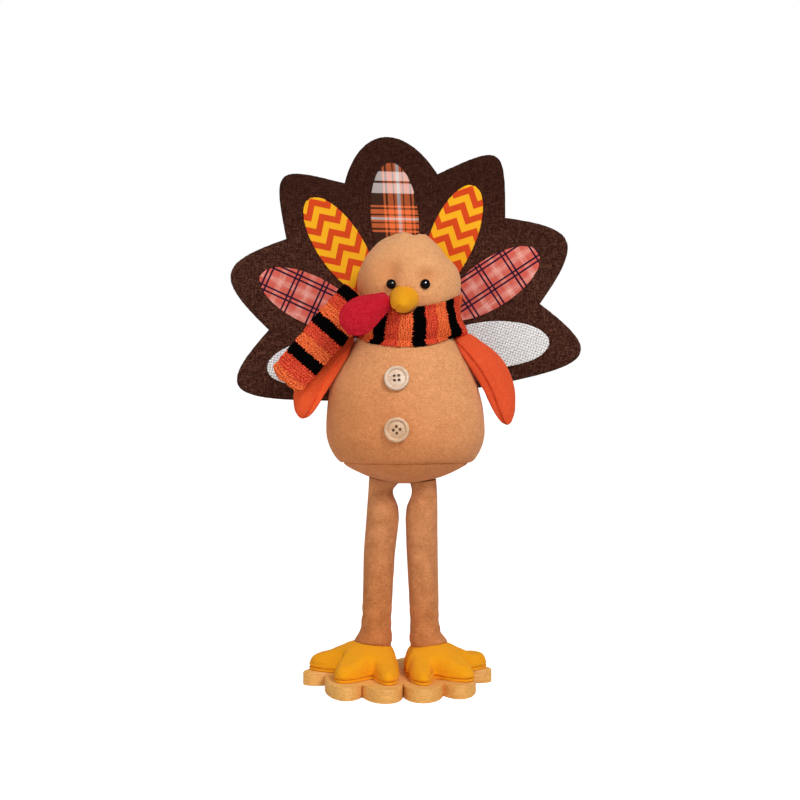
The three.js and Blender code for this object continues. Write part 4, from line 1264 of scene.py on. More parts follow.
@dataclass
class Wing:
    """Orange felt wing, sewn at its root."""

    side: Side
    place: tuple[float, float, float]
    slant: float
    length: float
    finish: Finish
    width: float = 33.0
    root: float = 20.0
    turn: float = 40.0
    bow: float = 11.6
    forward: float = 6.0
    inward: float = 1.5
    tuck: float = 8.0
    clearance: float = 0.8
    thickness: float = 15.0
    root_thickness: float = 3.85
    fullest: float = 0.47
    sewn_in: float = 3.0
    root_above: float = 8.5

    def build(self, body: Body) -> None:
        """Models the wing against the body's side."""
        sign = self.side.value
        seams = (224.0, 42.0) if self.side is Side.RIGHT else (316.0, 138.0)
        leaf = StuffedLeaf(self.length + self.sewn_in, self.width, self.thickness, self.root,
                           self.root_thickness, self.fullest, sign * self.bow, seams, ridge=-1.5, tucks=0.0,
                           wander=-0.06 * sign, seed=41 + sign, blunt=2.6, lip=-0.9 * sign)
        surface = leaf.surface()
        tucked = self.tuck * eased(surface.points[..., 2], -17, -1)
        form = surface.points + np.array([0, 0, self.root_above])
        form = turned(turned(form, "Z", sign * self.turn), "Y", -sign * self.slant)
        form = form + np.array(self.place) - np.array([self.inward * sign, self.forward, 0])
        form[..., 1] += tucked
        surface.points = body.keep_out(form, self.clearance)
        name = f"{self.side.word}_wing"
        piece = dress(surface.build(f"{name}_felt"), self.finish, [name], body="")
        down = turned(np.array([0, 0, -1.0]), "Y", -sign * self.slant)
        sew_to_figure(piece, np.array(self.place), down, before=4, after=14)


@dataclass
class Scarf:
    """Chunky knitted strip: a wrap round the neck, and a tail that bends at its fold."""

    x: float = 7.5
    front: float = -39.06
    back: float = 43.44
    radius: float = 44.5
    z: float = 301.6
    height: float = 35.0
    tilt: float = 10.0
    fold: tuple[float, float, float] = (-47.0, -22.131, 304.6)
    slant: float = 41.0
    tail_length: float = 66.0
    tail_width: float = 32.5
    thickness: float = 5.6
    course: float = 1.95
    loop: float = 2.5
    relief: float = 0.62
    lead: float = 44.0
    barrel: float = 0.42
    fold_lead: float = 15.0
    fold_radius: float = 7.0
    fold_turn: float = 1.9
    fold_shift: float = 1.2
    end_round: float = 2.4
    end_bulge: float = 4.2
    gather: float = 6.5
    head_gap: float = 2.6
    body_gap: float = 1.6
    hang: float = 1.2
    left_rise: float = 6.0
    right_rise: float = 7.5
    corner_out: float = 11.0
    corner_down: float = 3.6
    wrap_stripe: float = 29.0
    tail_stripe: float = 300.9

    @property
    def half_depth(self) -> float:
        """Half the band's depth, front to back."""
        return (self.back - self.front) / 2

    @property
    def centre(self) -> Array:
        """The middle of the band."""
        return np.array([self.x, (self.front + self.back) / 2, self.z])

    def stitches(self, along: Array, across: Array, seed: int) -> Array:
        """Height of the knitted loops.

        Args:
            along: Distance along the strip in millimetres.
            across: Distance across it.
            seed: Picks the unevenness.

        Returns:
            Heights from 0 in the hollows to 1 on the loops.
        """
        flat = flat_places(along, across)
        uneven = lumps(flat, 3.0, seed)
        row = along / self.course + 0.42 * uneven
        offset = row - np.floor(row) - 0.5
        column = np.floor(row)
        leg = np.cos(np.pi * offset) ** 0.8
        jump = np.modf(np.abs(np.sin(12.9898 * column)) * 43.7)[0]
        slope = np.where(column % 2 == 0, 1.15, -1.15)
        phase = across / self.loop + slope * offset + jump + 0.6 * lumps(flat, 3.4, seed + 2)
        loop = (0.5 + 0.5 * np.cos(2 * np.pi * phase)) ** 0.9
        return (0.35 + 0.65 * loop) * (0.3 + 0.7 * leg) + 0.14 * lumps(flat, 1.9, seed + 1) - 0.1

    def build(self, body: Body, head: Head, beak: Beak) -> None:
        """Models both parts of the strip."""
        self.build_wrap(body, head, beak)
        self.build_tail(head)

    def build_wrap(self, body: Body, head: Head, beak: Beak) -> None:
        """Models the band that fills the groove of the neck."""
        sides, high = 860, 116
        angle = ring_angles(sides)
        share = np.linspace(0.5, -0.5, high)[:, None]
        curl = 1 - np.clip((np.abs(share) - 0.4) / 0.1, 0, 1) ** 2 * 0.05
        outer = self.radius * (1 - self.barrel * share**2) * curl - 0.5
        inner = np.linspace(-0.5, 0.5, 12)[:, None]
        depth = np.minimum(1, (0.5 - np.abs(inner)) / 0.08) * 4.5
        inside = self.radius * (1 - self.barrel * inner**2) * 0.95 - 1.0 - depth
        share = np.concatenate([share, inner], 0)
        form = self.ring_points(np.concatenate([outer, inside], 0), share * self.height, angle)
        form = self.sagged(form, share)
        form[:high] = body.keep_out(head.keep_out(form[:high], self.head_gap), self.body_gap)
        form[high:] = body.keep_out(head.keep_out(form[high:], SEAT), SEAT)
        along = (angle[None] + np.pi / 2 + np.pi) % (2 * np.pi) - np.pi
        along = along * (self.radius + self.half_depth) / 2 + 0 * form[..., 0]
        across = share * self.height + 0 * along
        height = np.zeros_like(along)
        height[:high] = self.stitches(along[:high], across[:high], 51)
        normal = Surface(np.concatenate([form, form[:1]], 0)).normals()[:-1]
        at_edge = np.abs(across) > 0.44 * self.height
        ragged = 0.8 * lumps(flat_places(along, across), 2.6, 57) * at_edge
        form = form + normal * (height * self.relief + ragged)[..., None]
        form[..., 1] = np.minimum(form[..., 1], self.back)
        form = beak.keep_out(form, head, 0.8)
        lean = np.tan(np.radians(np.clip(3.7 - 0.21 * along, -8, 12)))
        cloth = np.stack([along - lean * across + self.wrap_stripe, across, height], -1)
        form = np.concatenate([form, form[:1]], 0)
        cloth = np.concatenate([cloth, cloth[:1]], 0)
        piece = Surface(form).build("scarf_wrap_knit", cloth, ends=False)
        dress(piece, Finish.WRAP_KNIT, ["scarf_wrap"])
        self.height * MM

    def over_wrap(self, points: Array, gap: float, share: Array) -> Array:
        """Moves points that lie in the wrap forward onto it, by a share of the way."""
        out = points.copy()
        offset = points - self.centre
        across, through = offset[..., 0], offset[..., 1] * self.radius / self.half_depth
        bulge = 1 - self.barrel * np.clip(offset[..., 2] / self.height, -0.6, 0.6) ** 2
        span = np.sqrt(np.clip((self.radius * bulge + gap) ** 2 - across**2, 0, None))
        forward = np.minimum(through, -span)
        out[..., 1] += (forward - through) * self.half_depth / self.radius * share * (points[..., 1] < 5)
        return out

    def sagged(self, form: Array, share: Array) -> Array:
        """Lets the band hang at the front, its edges rising to the sides, and flares its right corner."""
        out = form.copy()
        aside = (form[..., 0] - self.x) / self.radius
        ahead = eased(-form[..., 1], -18, 12)
        rise = np.where(aside > 0, self.right_rise, self.left_rise)
        out[..., 2] += (rise * np.abs(aside) ** 2.2 - self.hang) * ahead
        out[..., 2] += (2.6 + 1.4 * eased(aside, 0.1, 0.7)) * eased(-share, -0.1, 0.5) * ahead
        corner = eased(aside, 0.55, 1.0) * eased(-share, 0.0, 0.5) * eased(-form[..., 1], -24, -2)
        out[..., 0] += self.corner_out * corner
        out[..., 2] -= self.corner_down * corner
        return out

    def ring_points(self, radius: Array, height: Array, angle: Array) -> Array:
        """Rows of points round the tilted band.

        Args:
            radius: Each row's radius.
            height: Each row's height over the band's middle.
            angle: Places round it.

        Returns:
            The rows in the figure's frame.
        """
        flatness = self.half_depth / self.radius
        points = np.stack([radius * np.cos(angle), flatness * radius * np.sin(angle), height + 0 * angle], -1)
        return turned(points, "X", self.tilt) + self.centre

    def tail_line(self, along: Array, past: Array, fold: Array, down: Array) -> Array:
        """The middle of the tail: straight down from the fold, and round behind the neck before it.

        Args:
            along: Distances from the fold.
            past: How much of them is past the straight lead.
            fold: The place of the fold.
            down: Direction in which the tail hangs.

        Returns:
            Places along the tail.
        """
        straight = fold + along[:, None] * down
        turn = np.minimum(past / self.fold_radius, self.fold_turn)[:, None]
        beyond = np.clip(past - self.fold_radius * self.fold_turn, 0, None)[:, None]
        back = np.array([-0.12, 0.98, -0.14])
        top = fold - self.fold_lead * down
        dive = top - self.fold_radius * np.sin(turn) * down + self.fold_radius * (1 - np.cos(turn)) * back
        dive = dive + beyond * (back * np.sin(turn) - down * np.cos(turn))
        return np.where(past[:, None] > 0, dive, straight)

    def rounded(self, past: Array) -> Array:
        """Share of the full thickness near an end that is rounded off."""
        return np.sqrt(1 - np.clip((past + self.end_round) / self.end_round, 0, 1) ** 2)

    def build_tail(self, head: Head) -> None:
        """Models the strip from behind the neck, over the fold and down to its loose end."""
        rows, sides = 400, 260
        along = np.linspace(-self.lead, self.tail_length, rows)
        slant = math.radians(self.slant)
        down = np.array([-math.sin(slant), 0, -math.cos(slant)])
        square = np.array([math.cos(slant), 0, -math.sin(slant)])
        fold = np.array(self.fold) + self.fold_shift * square
        past = np.clip(-along - self.fold_lead, 0, None)
        middle = self.tail_line(along, past, fold, down)
        run = unit(np.gradient(middle, axis=0))
        across = unit(square - run * (square * run).sum(1, keepdims=True))
        out = np.cross(run, across)
        out *= np.sign((out * np.array([-0.5, -1, 0])).sum(1, keepdims=True))
        angle = ring_angles(sides)
        across_share = np.cos(angle)
        out_share = np.sign(np.sin(angle)) * np.sqrt(1 - np.abs(across_share) ** 7)
        ends = self.rounded(along - self.tail_length) * self.rounded(-along - self.lead)
        flat_along = along[:, None] + 0 * angle
        gathered = eased(past, 2, 16)
        taper = 1 - 0.05 * np.clip(along / self.tail_length, 0, 1) - 0.45 * gathered
        width = self.tail_width / 2 * taper[:, None]
        wander = lumps(flat_places(flat_along, np.sign(across_share)), 5, 61)
        side = (width + 0.8 * wander) * across_share - self.gather * gathered[:, None]
        thick = (self.thickness / 2 - 0.7) * ends[:, None] * out_share
        laid = head.keep_out(middle[:, None] + across[:, None] * side[..., None], self.thickness)
        laid = self.over_wrap(laid, self.thickness / 2 + 0.8, eased(14 - along, 0, 12)[:, None])
        form = laid + out[:, None] * thick[..., None]
        height = self.stitches(flat_along, side, 63)
        normal = Surface(form).normals()
        facing = np.sign((normal * (form - middle[:, None])).sum(-1, keepdims=True))
        at_end = flat_along > self.tail_length - 3
        loose = 1.1 * lumps(flat_places(flat_along, side), 2.4, 67) * at_end
        raised = height * self.relief * (0.35 + 0.65 * np.abs(out_share))
        form = form + normal * facing * raised[..., None]
        near_end = eased(flat_along, self.tail_length - 16, self.tail_length)
        bulge = self.end_bulge * (1 - across_share**4) * near_end
        form = form + run[:, None] * (loose + bulge)[..., None]
        cloth = np.stack([flat_along + self.tail_stripe, side, height], -1)
        piece = Surface(form).build("scarf_tail_knit", cloth)
        dress(piece, Finish.TAIL_KNIT, ["scarf_tail"], body="")
        sew_to_figure(piece, fold, down, before=3, after=5)


@dataclass
class Foot:
    """Stuffed three-toed foot on its felt sole."""

    side: Side
    x: float
    far_toe: float
    far_height: float
    far_run: float
    turn: float = 4.5
    floor: float = 13.6
    sole_floor: float = 11.3
    sole: float = 2.0
    height: float = 22.6
    toe_height: float = 8.4
    toe_run: float = 55.0
    far_side: tuple[float, float] = (62.0, 98.0)
    hollow: float = 1.35
    level: float = 9.0
    ankle: float = 18.0
    edge: float = 2.4
    tuck: float = 1.6
    round_off: float = 5.8
    crest: float = 6.0
    tilt: float = 0.13
    toe: float = 57.0
    web: float = 33.0
    heel: float = 22.0
    instep: float = 15.0
    toes: tuple[float, ...] = (-3.5, 37.0, 107.0)

    def reach(self, direction: Array) -> Array:
        """Reach of the outline at directions in degrees outward from straight ahead."""
        first = self.toes[0]
        stops = np.array([(first, self.toe), (13, self.web), (self.toes[1], self.toe), (73, self.web),
                          (self.toes[2], self.far_toe), (148, self.heel), (205, self.heel),
                          (262, self.instep), (300, self.instep + 1), (326, self.instep + 10),
                          (first + 360, self.toe)])
        turned_to = (np.asarray(direction, float) - first) % 360 + first
        after = np.clip(np.searchsorted(stops[:, 0], turned_to), 1, len(stops) - 1)
        low, high = stops[after - 1], stops[after]
        share = (turned_to - low[..., 0]) / (high[..., 0] - low[..., 0])
        return low[..., 1] + (high[..., 1] - low[..., 1]) * (0.5 - 0.5 * np.cos(np.pi * share))

    def rise(self, across: Array, ahead: Array) -> Array:
        """Height over the sole at places from the ankle: a slope to the toes, rounded off at the edge."""
        every = np.arange(0, 360, 1.0)
        turn = np.radians(every)
        edge = self.reach(every)[:, None] * np.stack([np.sin(turn), np.cos(turn)], -1)
        length = np.linalg.norm(np.roll(edge, -1, 0) - np.roll(edge, 1, 0), axis=1) / 2
        near = np.zeros(np.broadcast(across, ahead).shape)
        for (right, front), part in zip(edge, length):
            near += part / np.maximum(np.hypot(across - right, ahead - front), 0.2) ** 3
        direction = np.degrees(np.arctan2(across, ahead))
        within = np.hypot(across, ahead) < self.reach(direction) + 1e-6
        gap = np.where(within, np.sqrt(2 / near), 0)
        far = eased(direction, *self.far_side)
        slope = self.slope(across, ahead, self.toe_height, self.toe_run, self.hollow) * (1 - far)
        slope = slope + self.slope(across, ahead, self.far_height, self.far_run, 1.0) * far
        return slope * np.sqrt(1 - (1 - np.clip(gap / self.round_off, 0, 1)) ** 2)

    def slope(self, across: Array, ahead: Array, low: float, run: float, hollow: float) -> Array:
        """Height that falls from the ankle's to a low one over a run, straight or hollow."""
        share = np.clip((np.hypot(across - self.crest, ahead) - self.level) / (run - self.level), 0, 1)
        tilt = self.tilt * np.clip(across, -self.ankle, self.ankle) * (1 - share)
        return low + (self.height - low) * (1 - share) ** hollow + tilt

    def top_at(self, x: Array, y: Array) -> Array:
        """Height of the foot's top over a place in plan."""
        plan = spun(np.stack([x - self.x, y], -1), -self.turn)
        return self.floor + self.rise(self.side.value * plan[..., 0], -plan[..., 1])

    def plan(self, direction: Array, reach: Array, z: Array) -> Array:
        """Points at directions and distances from the ankle, with heights."""
        turn = np.radians(direction)
        right, back = self.side.value * reach * np.sin(turn), -reach * np.cos(turn)
        points = np.stack(np.broadcast_arrays(right, back, z), -1)
        return turned(points, "Z", self.turn) + np.array([self.x, 0, 0])

    def build(self) -> None:
        """Models the stuffed upper and the sole under it."""
        direction = np.arange(0, 360, 1.0)[None]
        if self.side is Side.LEFT:
            direction = direction[:, ::-1]
        reach = self.reach(direction)
        toward_edge = 0.7 + 0.3 * np.sin(np.linspace(0, np.pi / 2, 40)[1:])
        share = np.concatenate([np.linspace(0.02, 0.7, 36), toward_edge])[:, None]
        turn = np.radians(direction)
        rise = self.rise(share * reach * np.sin(turn), share * reach * np.cos(turn))
        rise = self.edge + np.maximum(rise - self.edge, 0) * eased(1 - share, -0.01, 0.02)
        upper = self.plan(direction, reach * share, self.floor + rise)
        arc = np.linspace(0, np.pi / 2, 8)[1:, None]
        tucked = reach - self.tuck * (1 - np.cos(arc))
        under = self.plan(direction, tucked, self.floor + self.edge * (1 - np.sin(arc)))
        inward = np.array([[0.7], [0.4], [0.1]])
        closing = self.plan(direction, (reach - self.tuck) * inward, np.full((3, 1), self.floor))
        form = np.concatenate([upper, under, closing], 0)[::-1]
        z = form[..., 2] - self.floor
        amount = (0.7 * lumps(form, 15, 71 + self.side.value) + 0.25 * lumps(form, 6, 73)) * eased(z, 2.5, 6)
        piece = Surface(form).pushed(amount).build(f"{self.side.word}_foot_felt")
        dress(piece, Finish.YELLOW_FELT, [f"{self.side.word}_foot"])
        self.build_sole(direction, reach)

    def build_sole(self, direction: Array, reach: Array) -> None:
        """Models the sole as a flat felt with a soft cut edge.

        Args:
            direction: Directions once round.
            reach: The foot's reach in them.
        """
        edge = np.linspace(0.05, 0.95, 6)
        ring = np.concatenate([np.linspace(0.05, 1, 10), np.ones(6), np.linspace(1, 0.05, 10)])[:, None]
        lift = np.concatenate([np.zeros(10), 0.5 - 0.5 * np.cos(np.pi * edge), np.ones(10)])[:, None]
        bulge = np.concatenate([np.zeros(10), 0.5 * np.sin(np.pi * edge), np.zeros(10)])[:, None]
        uneven = 0.25 * lumps(self.plan(direction, reach, 0.0), 2, 75)
        flat = (reach - 0.4) * ring + bulge + uneven * (ring > 0.99)
        sole = Surface(self.plan(direction, flat, self.sole_floor + self.sole * lift))
        piece = dress(sole.build(f"{self.side.word}_sole_felt"), Finish.YELLOW_FELT,
                      [f"{self.side.word}_foot_sole"])


@dataclass
class Leg:
    """Fleece sleeve over a dowel, from the foot to the body."""

    side: Side
    x: float
    lean: float
    top_flare: float
    top_shift: float
    flare: float = 28.0
    ankle: float = 24.0
    width: float = 27.0
    top_width: float = 20.0
    bottom: float = 36.9
    top: float = 184.6
    hem_spread: float = 2.6
    hem_drop: float = 7.5
    shin_dent: float = 1.5
    top_gap: float = 0.6

    def width_at(self, share: Array) -> Array:
        """The sleeve's width at shares of its length, from the hem up."""
        stops = np.array([(0, self.flare), (0.045, 0.6 * self.flare + 0.4 * self.ankle), (0.12, self.ankle),
                          (0.45, (self.ankle + self.width) / 2), (0.69, self.width),
                          (0.76, 0.75 * self.width + 0.25 * self.top_width), (0.825, self.top_width),
                          (1, self.top_width)])
        places = np.linspace(0, 1, 601)
        window = np.hanning(35) / np.hanning(35).sum()
        widths = np.pad(np.interp(places, *stops.T), 17, mode="edge")
        return np.interp(share, places, np.convolve(widths, window, "valid"))

    def build(self, foot: Foot, body: Body) -> None:
        """Models the sleeve with its hem on the foot and its top against the body."""
        rows, sides, sign = 170, 110, self.side.value
        share = np.linspace(0, 1, rows)[:, None]
        angle = ring_angles(sides)[None]
        width = self.width_at(share)
        narrowing = np.where(share > 0.69, 0.5 * (self.width - width), 0)
        spread = self.hem_spread * (1 - eased(share, 0, 0.06))
        flared = self.top_flare * eased(share, 0.845, 0.9)
        aside = self.lean * (0.42 - share) + narrowing + spread - flared / 2
        middle = self.x + sign * (aside - self.top_shift * eased(share, 0.45, 0.85))
        half = (width + flared) / 2
        z = self.bottom + (self.top - self.bottom) * share + 0 * angle
        form = np.stack([middle + (half + spread * 0.4) * np.cos(angle), half * np.sin(angle), z], -1)
        hem = np.maximum(foot.top_at(form[:1, :, 0], form[:1, :, 1]), self.bottom - self.hem_drop) + SEAT
        form[..., 2] = hem + (form[..., 2] - self.bottom) * (self.top - hem) / (self.top - self.bottom)
        up = form[..., 2] - self.bottom
        low = eased(up, 3, 10) * eased(46 - up, 0, 30)
        crease = np.sin(2 * np.pi * up / 11 + 1.4 * np.sin(angle * 2 + sign) + 0.6 * np.cos(angle))
        amount = 0.45 * crease * low * (0.45 + 0.55 * lumps(form, 12, 81 + sign))
        amount = amount + (0.9 * lumps(form, 26, 83 + sign) + 0.3 * lumps(form, 10, 85)) * eased(up, 1, 8)
        ahead = bell(angle_from(angle, -np.pi / 2 - 0.25 * sign), 0.8)
        amount = amount - self.shin_dent * ahead * bell(up - 15, 8) + 0.4 * bell(up, 1.4)
        surface = Surface(form).pushed(amount)
        ceiling = body.underside(surface.points[..., 0], surface.points[..., 1]) - self.top_gap
        surface.points[..., 2] = np.minimum(surface.points[..., 2], ceiling)
        surface.points = np.concatenate([*self.hem_floor(surface.points[:1], foot), surface.points], 0)
        name = f"{self.side.word}_leg_sleeve"
        piece = dress(surface.build(f"{name}_fleece"), Finish.LEG_FLEECE, [name])

    def hem_floor(self, rim: Array, foot: Foot) -> list[Array]:
        """Rings that close the hem over the foot, from the middle outward."""
        axis = rim[..., :2].mean((0, 1))
        rings = []
        for part in (0.35, 0.62, 0.85):
            ring = rim.copy()
            ring[..., :2] = axis + (rim[..., :2] - axis) * part
            ring[..., 2] = foot.top_at(ring[..., 0], ring[..., 1]) + SEAT
            rings.append(ring)
        return rings


@dataclass
class Board:
    """Scalloped wooden board with the screw holes in its underside."""

    thickness: float = 11.0
    half_width: float = 78.51
    half_depth: float = 73.63
    turn: float = 4.5
    edge: float = 0.9
    lobes: tuple[float, ...] = (11, 44, 98, 155)
    notches: tuple[float, ...] = (0, 33, 90, 128, 180)
    notch_depth: float = 0.24
    centre_depth: float = 0.35
    sharpness: float = 0.12
    holes: tuple[float, ...] = (-15.9, 20.1)
    screw_head: float = 8.1
    screw_shank: float = 4.1
    socket: float = 8.6
    socket_floor: float = 6.0

    def point(self, direction: float, share: float) -> Array:
        """A place in plan, its direction in degrees from straight ahead."""
        return share * polar(direction) * np.array([self.half_width, -self.half_depth])

    def notch(self, place: int) -> Array:
        """The inner point between two lobes."""
        deep = self.centre_depth if place in (0, len(self.notches) - 1) else self.notch_depth
        return self.point(self.notches[place], 1 - deep)

    def outline(self) -> Array:
        """The board's edge, once round."""
        half = []
        for place, direction in enumerate(self.lobes):
            tip = self.point(direction, 1)
            half.append(lobe_curve(self.notch(place), tip, self.notch(place + 1), self.sharpness, 30)[:-1])
        right = np.concatenate([*half, self.notch(len(self.lobes))[None]], 0)
        return np.concatenate([right, (right * np.array([-1, 1]))[-2:0:-1]], 0)

    def build(self) -> None:
        """Models the board with eased edges and cuts its two stepped holes."""
        edge = self.outline()
        run = unit(np.roll(edge, -1, 0) - np.roll(edge, 1, 0))
        outward = np.stack([run[:, 1], -run[:, 0]], -1)
        rows = []
        arc = np.linspace(0, np.pi / 2, 5)
        for inset, z in [*zip(self.edge * (1 - np.sin(arc)), self.edge * (1 - np.cos(arc))),
                         *zip(self.edge * (1 - np.cos(arc)), self.thickness - self.edge * (1 - np.sin(arc)))]:
            flat = edge - outward * inset
            rows.append(np.concatenate([flat, np.full((len(flat), 1), z)], 1))
        board = Surface(turned(np.array(rows), "Z", self.turn)).build("base_board_wood")
        above = self.thickness + 1
        head, shank, socket = self.screw_head / 2, self.screw_shank / 2, self.socket / 2
        for x in self.holes:
            tool = lathe(np.array([(0, -1), (head, -1), (head, 0.8), (shank, 2.8), (shank, self.socket_floor),
                                   (socket, self.socket_floor), (socket, above), (0, above)]), 40)
            tool.points[..., 0] += x
            cut_away(board, tool.build("hole_tool"))
        board.data.set_sharp_from_angle(angle=math.radians(32))
        dress(board, Finish.BOARD_WOOD, ["base_board"])


def lobe_curve(start: Array, tip: Array, notch: Array, sharpness: float, count: int) -> Array:
    """A rounded lobe from one inner point over its tip to the next.

    Args:
        start: Where it leaves.
        tip: What it passes.
        notch: Where it ends.
        sharpness: How far the curve's handles are drawn together.
        count: How many points it has.

    Returns:
        Points along the lobe.
    """
    chord = notch - start
    lift = (tip - start - 0.5 * chord) * 4 / 3
    return bezier([start, start + lift + sharpness * chord, notch + lift - sharpness * chord, notch], count)


def cut_away(piece: Piece, tool: Piece) -> None:
    """Cuts one closed mesh out of another and removes the tool."""
    modifier = piece.modifiers.new("cut", "BOOLEAN")
    modifier.operation, modifier.object, modifier.solver = "DIFFERENCE", tool, "EXACT"
    shaped = bpy.data.meshes.new_from_object(piece.evaluated_get(bpy.context.evaluated_depsgraph_get()))
    piece.modifiers.clear()
    piece.data = shaped
    bpy.data.objects.remove(tool)


@dataclass
class Button:
    """Turned wooden button with four holes."""

    name: str
    height: float
    hole_turn: float
    finish: Finish
    side: float = -7.0
    diameter: float = 20.0
    thickness: float = 4.0
    rim: float = 2.8
    recess: float = 1.1
    hole: float = 2.3
    hole_spacing: float = 3.7

    def build(self, body: Body) -> None:
        """Models the button on the body's front."""
        radius, dish = self.diameter / 2, self.diameter / 2 - self.rim
        top, low = self.thickness, self.thickness - self.recess
        profile = [(0, 0), (radius - 1.2, 0)]
        profile += [(radius - 1.2 + 1.2 * math.sin(a), 1.4 - 1.4 * math.cos(a))
                    for a in np.linspace(0.2, np.pi / 2, 6)]
        profile += [(radius - 1.3 + 1.3 * math.cos(a), top - 1.1 + 1.1 * math.sin(a))
                    for a in np.linspace(0.2, np.pi / 2, 7)]
        profile += [(dish + 0.9, top - 0.02), (dish + 0.45, top - 0.22), (dish + 0.1, low),
                    (dish - 0.4, low - 0.45), (dish - 1.2, low - 0.1), (0, low)]
        disc = lathe(np.array(profile), 96).build(self.name + "_wood")
        for quarter in range(4):
            tool = lathe(np.array([(0, -1), (self.hole / 2, -1), (self.hole / 2, top + 1), (0, top + 1)]), 24)
            place = self.hole_spacing / math.sqrt(2) * polar(90 * quarter + self.hole_turn)
            tool.points[..., :2] += place
            cut_away(disc, tool.build("hole_tool"))
        # Marks the hole walls, which the wood darkens with painted shade.
        hole_shade = disc.data.attributes.new("hole_shade", "FLOAT", "FACE")
        hole_shade.data.foreach_set("value", [
            float(abs(face.normal.z) < 0.3 and face.center.xy.length < (dish - 1.5) * MM)
            for face in disc.data.polygons])
        z = body.bottom + self.height
        normal = body.front_normal(self.side, z)
        flat = np.array([v.co for v in disc.data.vertices]) / MM
        placed = aimed(flat, body.front(self.side, z) + SEAT * normal, normal) * MM
        disc.data.vertices.foreach_set("co", placed.reshape(-1))
        disc.data.set_sharp_from_angle(angle=math.radians(40))
        dress(disc, self.finish, [self.name])


@dataclass
class Fan:
    """Tail fan of two felts over a card, with seven cloth feathers."""

    x: float = 7.5
    y: float = 44.843
    z: float = 278.1
    tilt: float = 5.5
    felt: float = 2.0
    back_depth: float = 4.1
    lobes: tuple[float, ...] = (0, 30.5, 61.8, 96.4)
    lobe_reach: tuple[float, ...] = (178, 177, 161.5, 147)
    sharpness: tuple[float, ...] = (0.26, 0.48, 0.42, 0.4)
    notches: tuple[float, ...] = (15.4, 42.6, 77.3)
    notch_reach: tuple[float, ...] = (148, 137, 118)
    corner: tuple[float, float] = (104, -34.5)
    lower_edge: float = 42.0
    top_lean: float = -0.9
    feather_length: float = 95.0
    fullness: float = 0.03
    feathers: tuple[float, ...] = (0, 28, 58.3, 93.4)
    feather_widths: tuple[float, ...] = (40, 38.5, 40, 39)
    feather_borders: tuple[float, ...] = (22, 27, 23.5, 27)
    patch: float = 0.8
    ragged: float = 0.22
    rim_draw: float = 0.75
    rim_round: float = 0.55
    fray: float = 0.012
    patch_lean: tuple[float, ...] = (0, 0, 0, 0, 0, 3.2, 0)
    patch_drop: tuple[float, ...] = (0, 0, 0, 0, 2.8, 1.2, 0)

    def outline(self) -> Array:
        """The fan's edge in its own plane, once round."""
        flip = np.array([-1, 1])
        stops = [r * polar(d) for d, r in zip(self.notches, self.notch_reach)] + [np.array(self.corner)]
        tips = [r * polar(d) for d, r in zip(self.lobes, self.lobe_reach)]
        tips[0] = self.lobe_reach[0] * polar(self.top_lean)
        right = [lobe_curve(stops[i - 1], tips[i], stops[i], self.sharpness[i], 60)[:-1] for i in range(1, 4)]
        right = np.concatenate(right, 0)
        top = lobe_curve(stops[0] * flip, tips[0], stops[0], self.sharpness[0], 60)[:-1]
        ahead = np.array([0, -2 * self.lower_edge - self.corner[1]])
        t = np.linspace(0, 1, 80)[:, None]
        corner = np.array(self.corner)
        lower = corner * (1 - t) ** 2 + 2 * t * (1 - t) * ahead + corner * flip * t**2
        return np.concatenate([top, right, lower, (right * flip)[:0:-1]], 0)

    def placed(self, flat: Array, depth: Array) -> Array:
        """Points of the fan's plane, and their depth behind its front, in the figure's frame."""
        leaned_over = spun(flat, self.tilt)
        return np.stack([self.x + leaned_over[..., 0], self.y + depth, self.z + leaned_over[..., 1]], -1)

    @staticmethod
    def wave(spots: Array) -> Array:
        """The slow swell that the felts and the feathers share."""
        return 0.14 * lumps(spots, 45, 92)

    def build(self) -> None:
        """Models both felts and all the feathers."""
        self.build_felt("fan_front", 0.0, 1.0)
        self.build_felt("fan_back", self.back_depth, -1.0)
        for step, word, finish, slot in (
            (-3, "lower_left", Finish.COARSE_WEAVE, "coarse_weave"),
            (-2, "left", Finish.LEFT_CHECK, "check_cloth"),
            (-1, "upper_left", Finish.LEFT_ZIGZAG, "zigzag_cloth"),
            (0, "top", Finish.PLAID, "plaid_cloth"),
            (1, "upper_right", Finish.RIGHT_ZIGZAG, "zigzag_cloth"),
            (2, "right", Finish.RIGHT_CHECK, "check_cloth"),
            (3, "lower_right", Finish.COARSE_WEAVE, "coarse_weave"),
        ):
            self.build_feather(step, f"{word}_feather", finish)
        dress_node(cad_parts["fan_stiffener"], Finish.CARD)

    def build_felt(self, name: str, depth: float, closing: float) -> None:
        """Models one felt, its rim drawn toward the other one.

        Args:
            name: Start of the piece's and node's names.
            depth: Its front face behind the fan's front.
            closing: Which way its rim is drawn.
        """
        edge = self.outline()
        edge = edge + self.ragged * lumps(flat_places(*edge.T), 1.7, 91)[:, None] * unit(edge)
        share = np.concatenate([np.linspace(0.02, 0.9, 40), np.linspace(0.91, 1, 14)])[:, None, None]
        face = edge[None] * share
        far = np.linalg.norm(edge, axis=-1)[None] * (1 - share[..., 0])
        drawn = closing * self.rim_draw * (1 - eased(far, 0.5, 5))
        rounding = self.rim_round * bell(far, 0.7)
        spots = flat_places(face[..., 0], face[..., 1])
        wave = self.wave(spots) + 0.05 * lumps(spots, 9, 93)
        front = self.placed(face, depth + drawn + rounding + wave)
        back = self.placed(face, depth + self.felt + drawn - rounding + wave)
        rim = self.placed(edge[None] * 1.0015, depth + self.felt / 2 + drawn[-1:])
        surface = Surface(np.concatenate([front, rim, back[::-1]], 0))
        piece = dress(surface.build(f"{name}_sheet"), Finish.BROWN_FELT, [f"{name}_felt"])
        low, high = edge.min(0), edge.max(0)
        tuple(float(v) for v in (high - low) * MM)

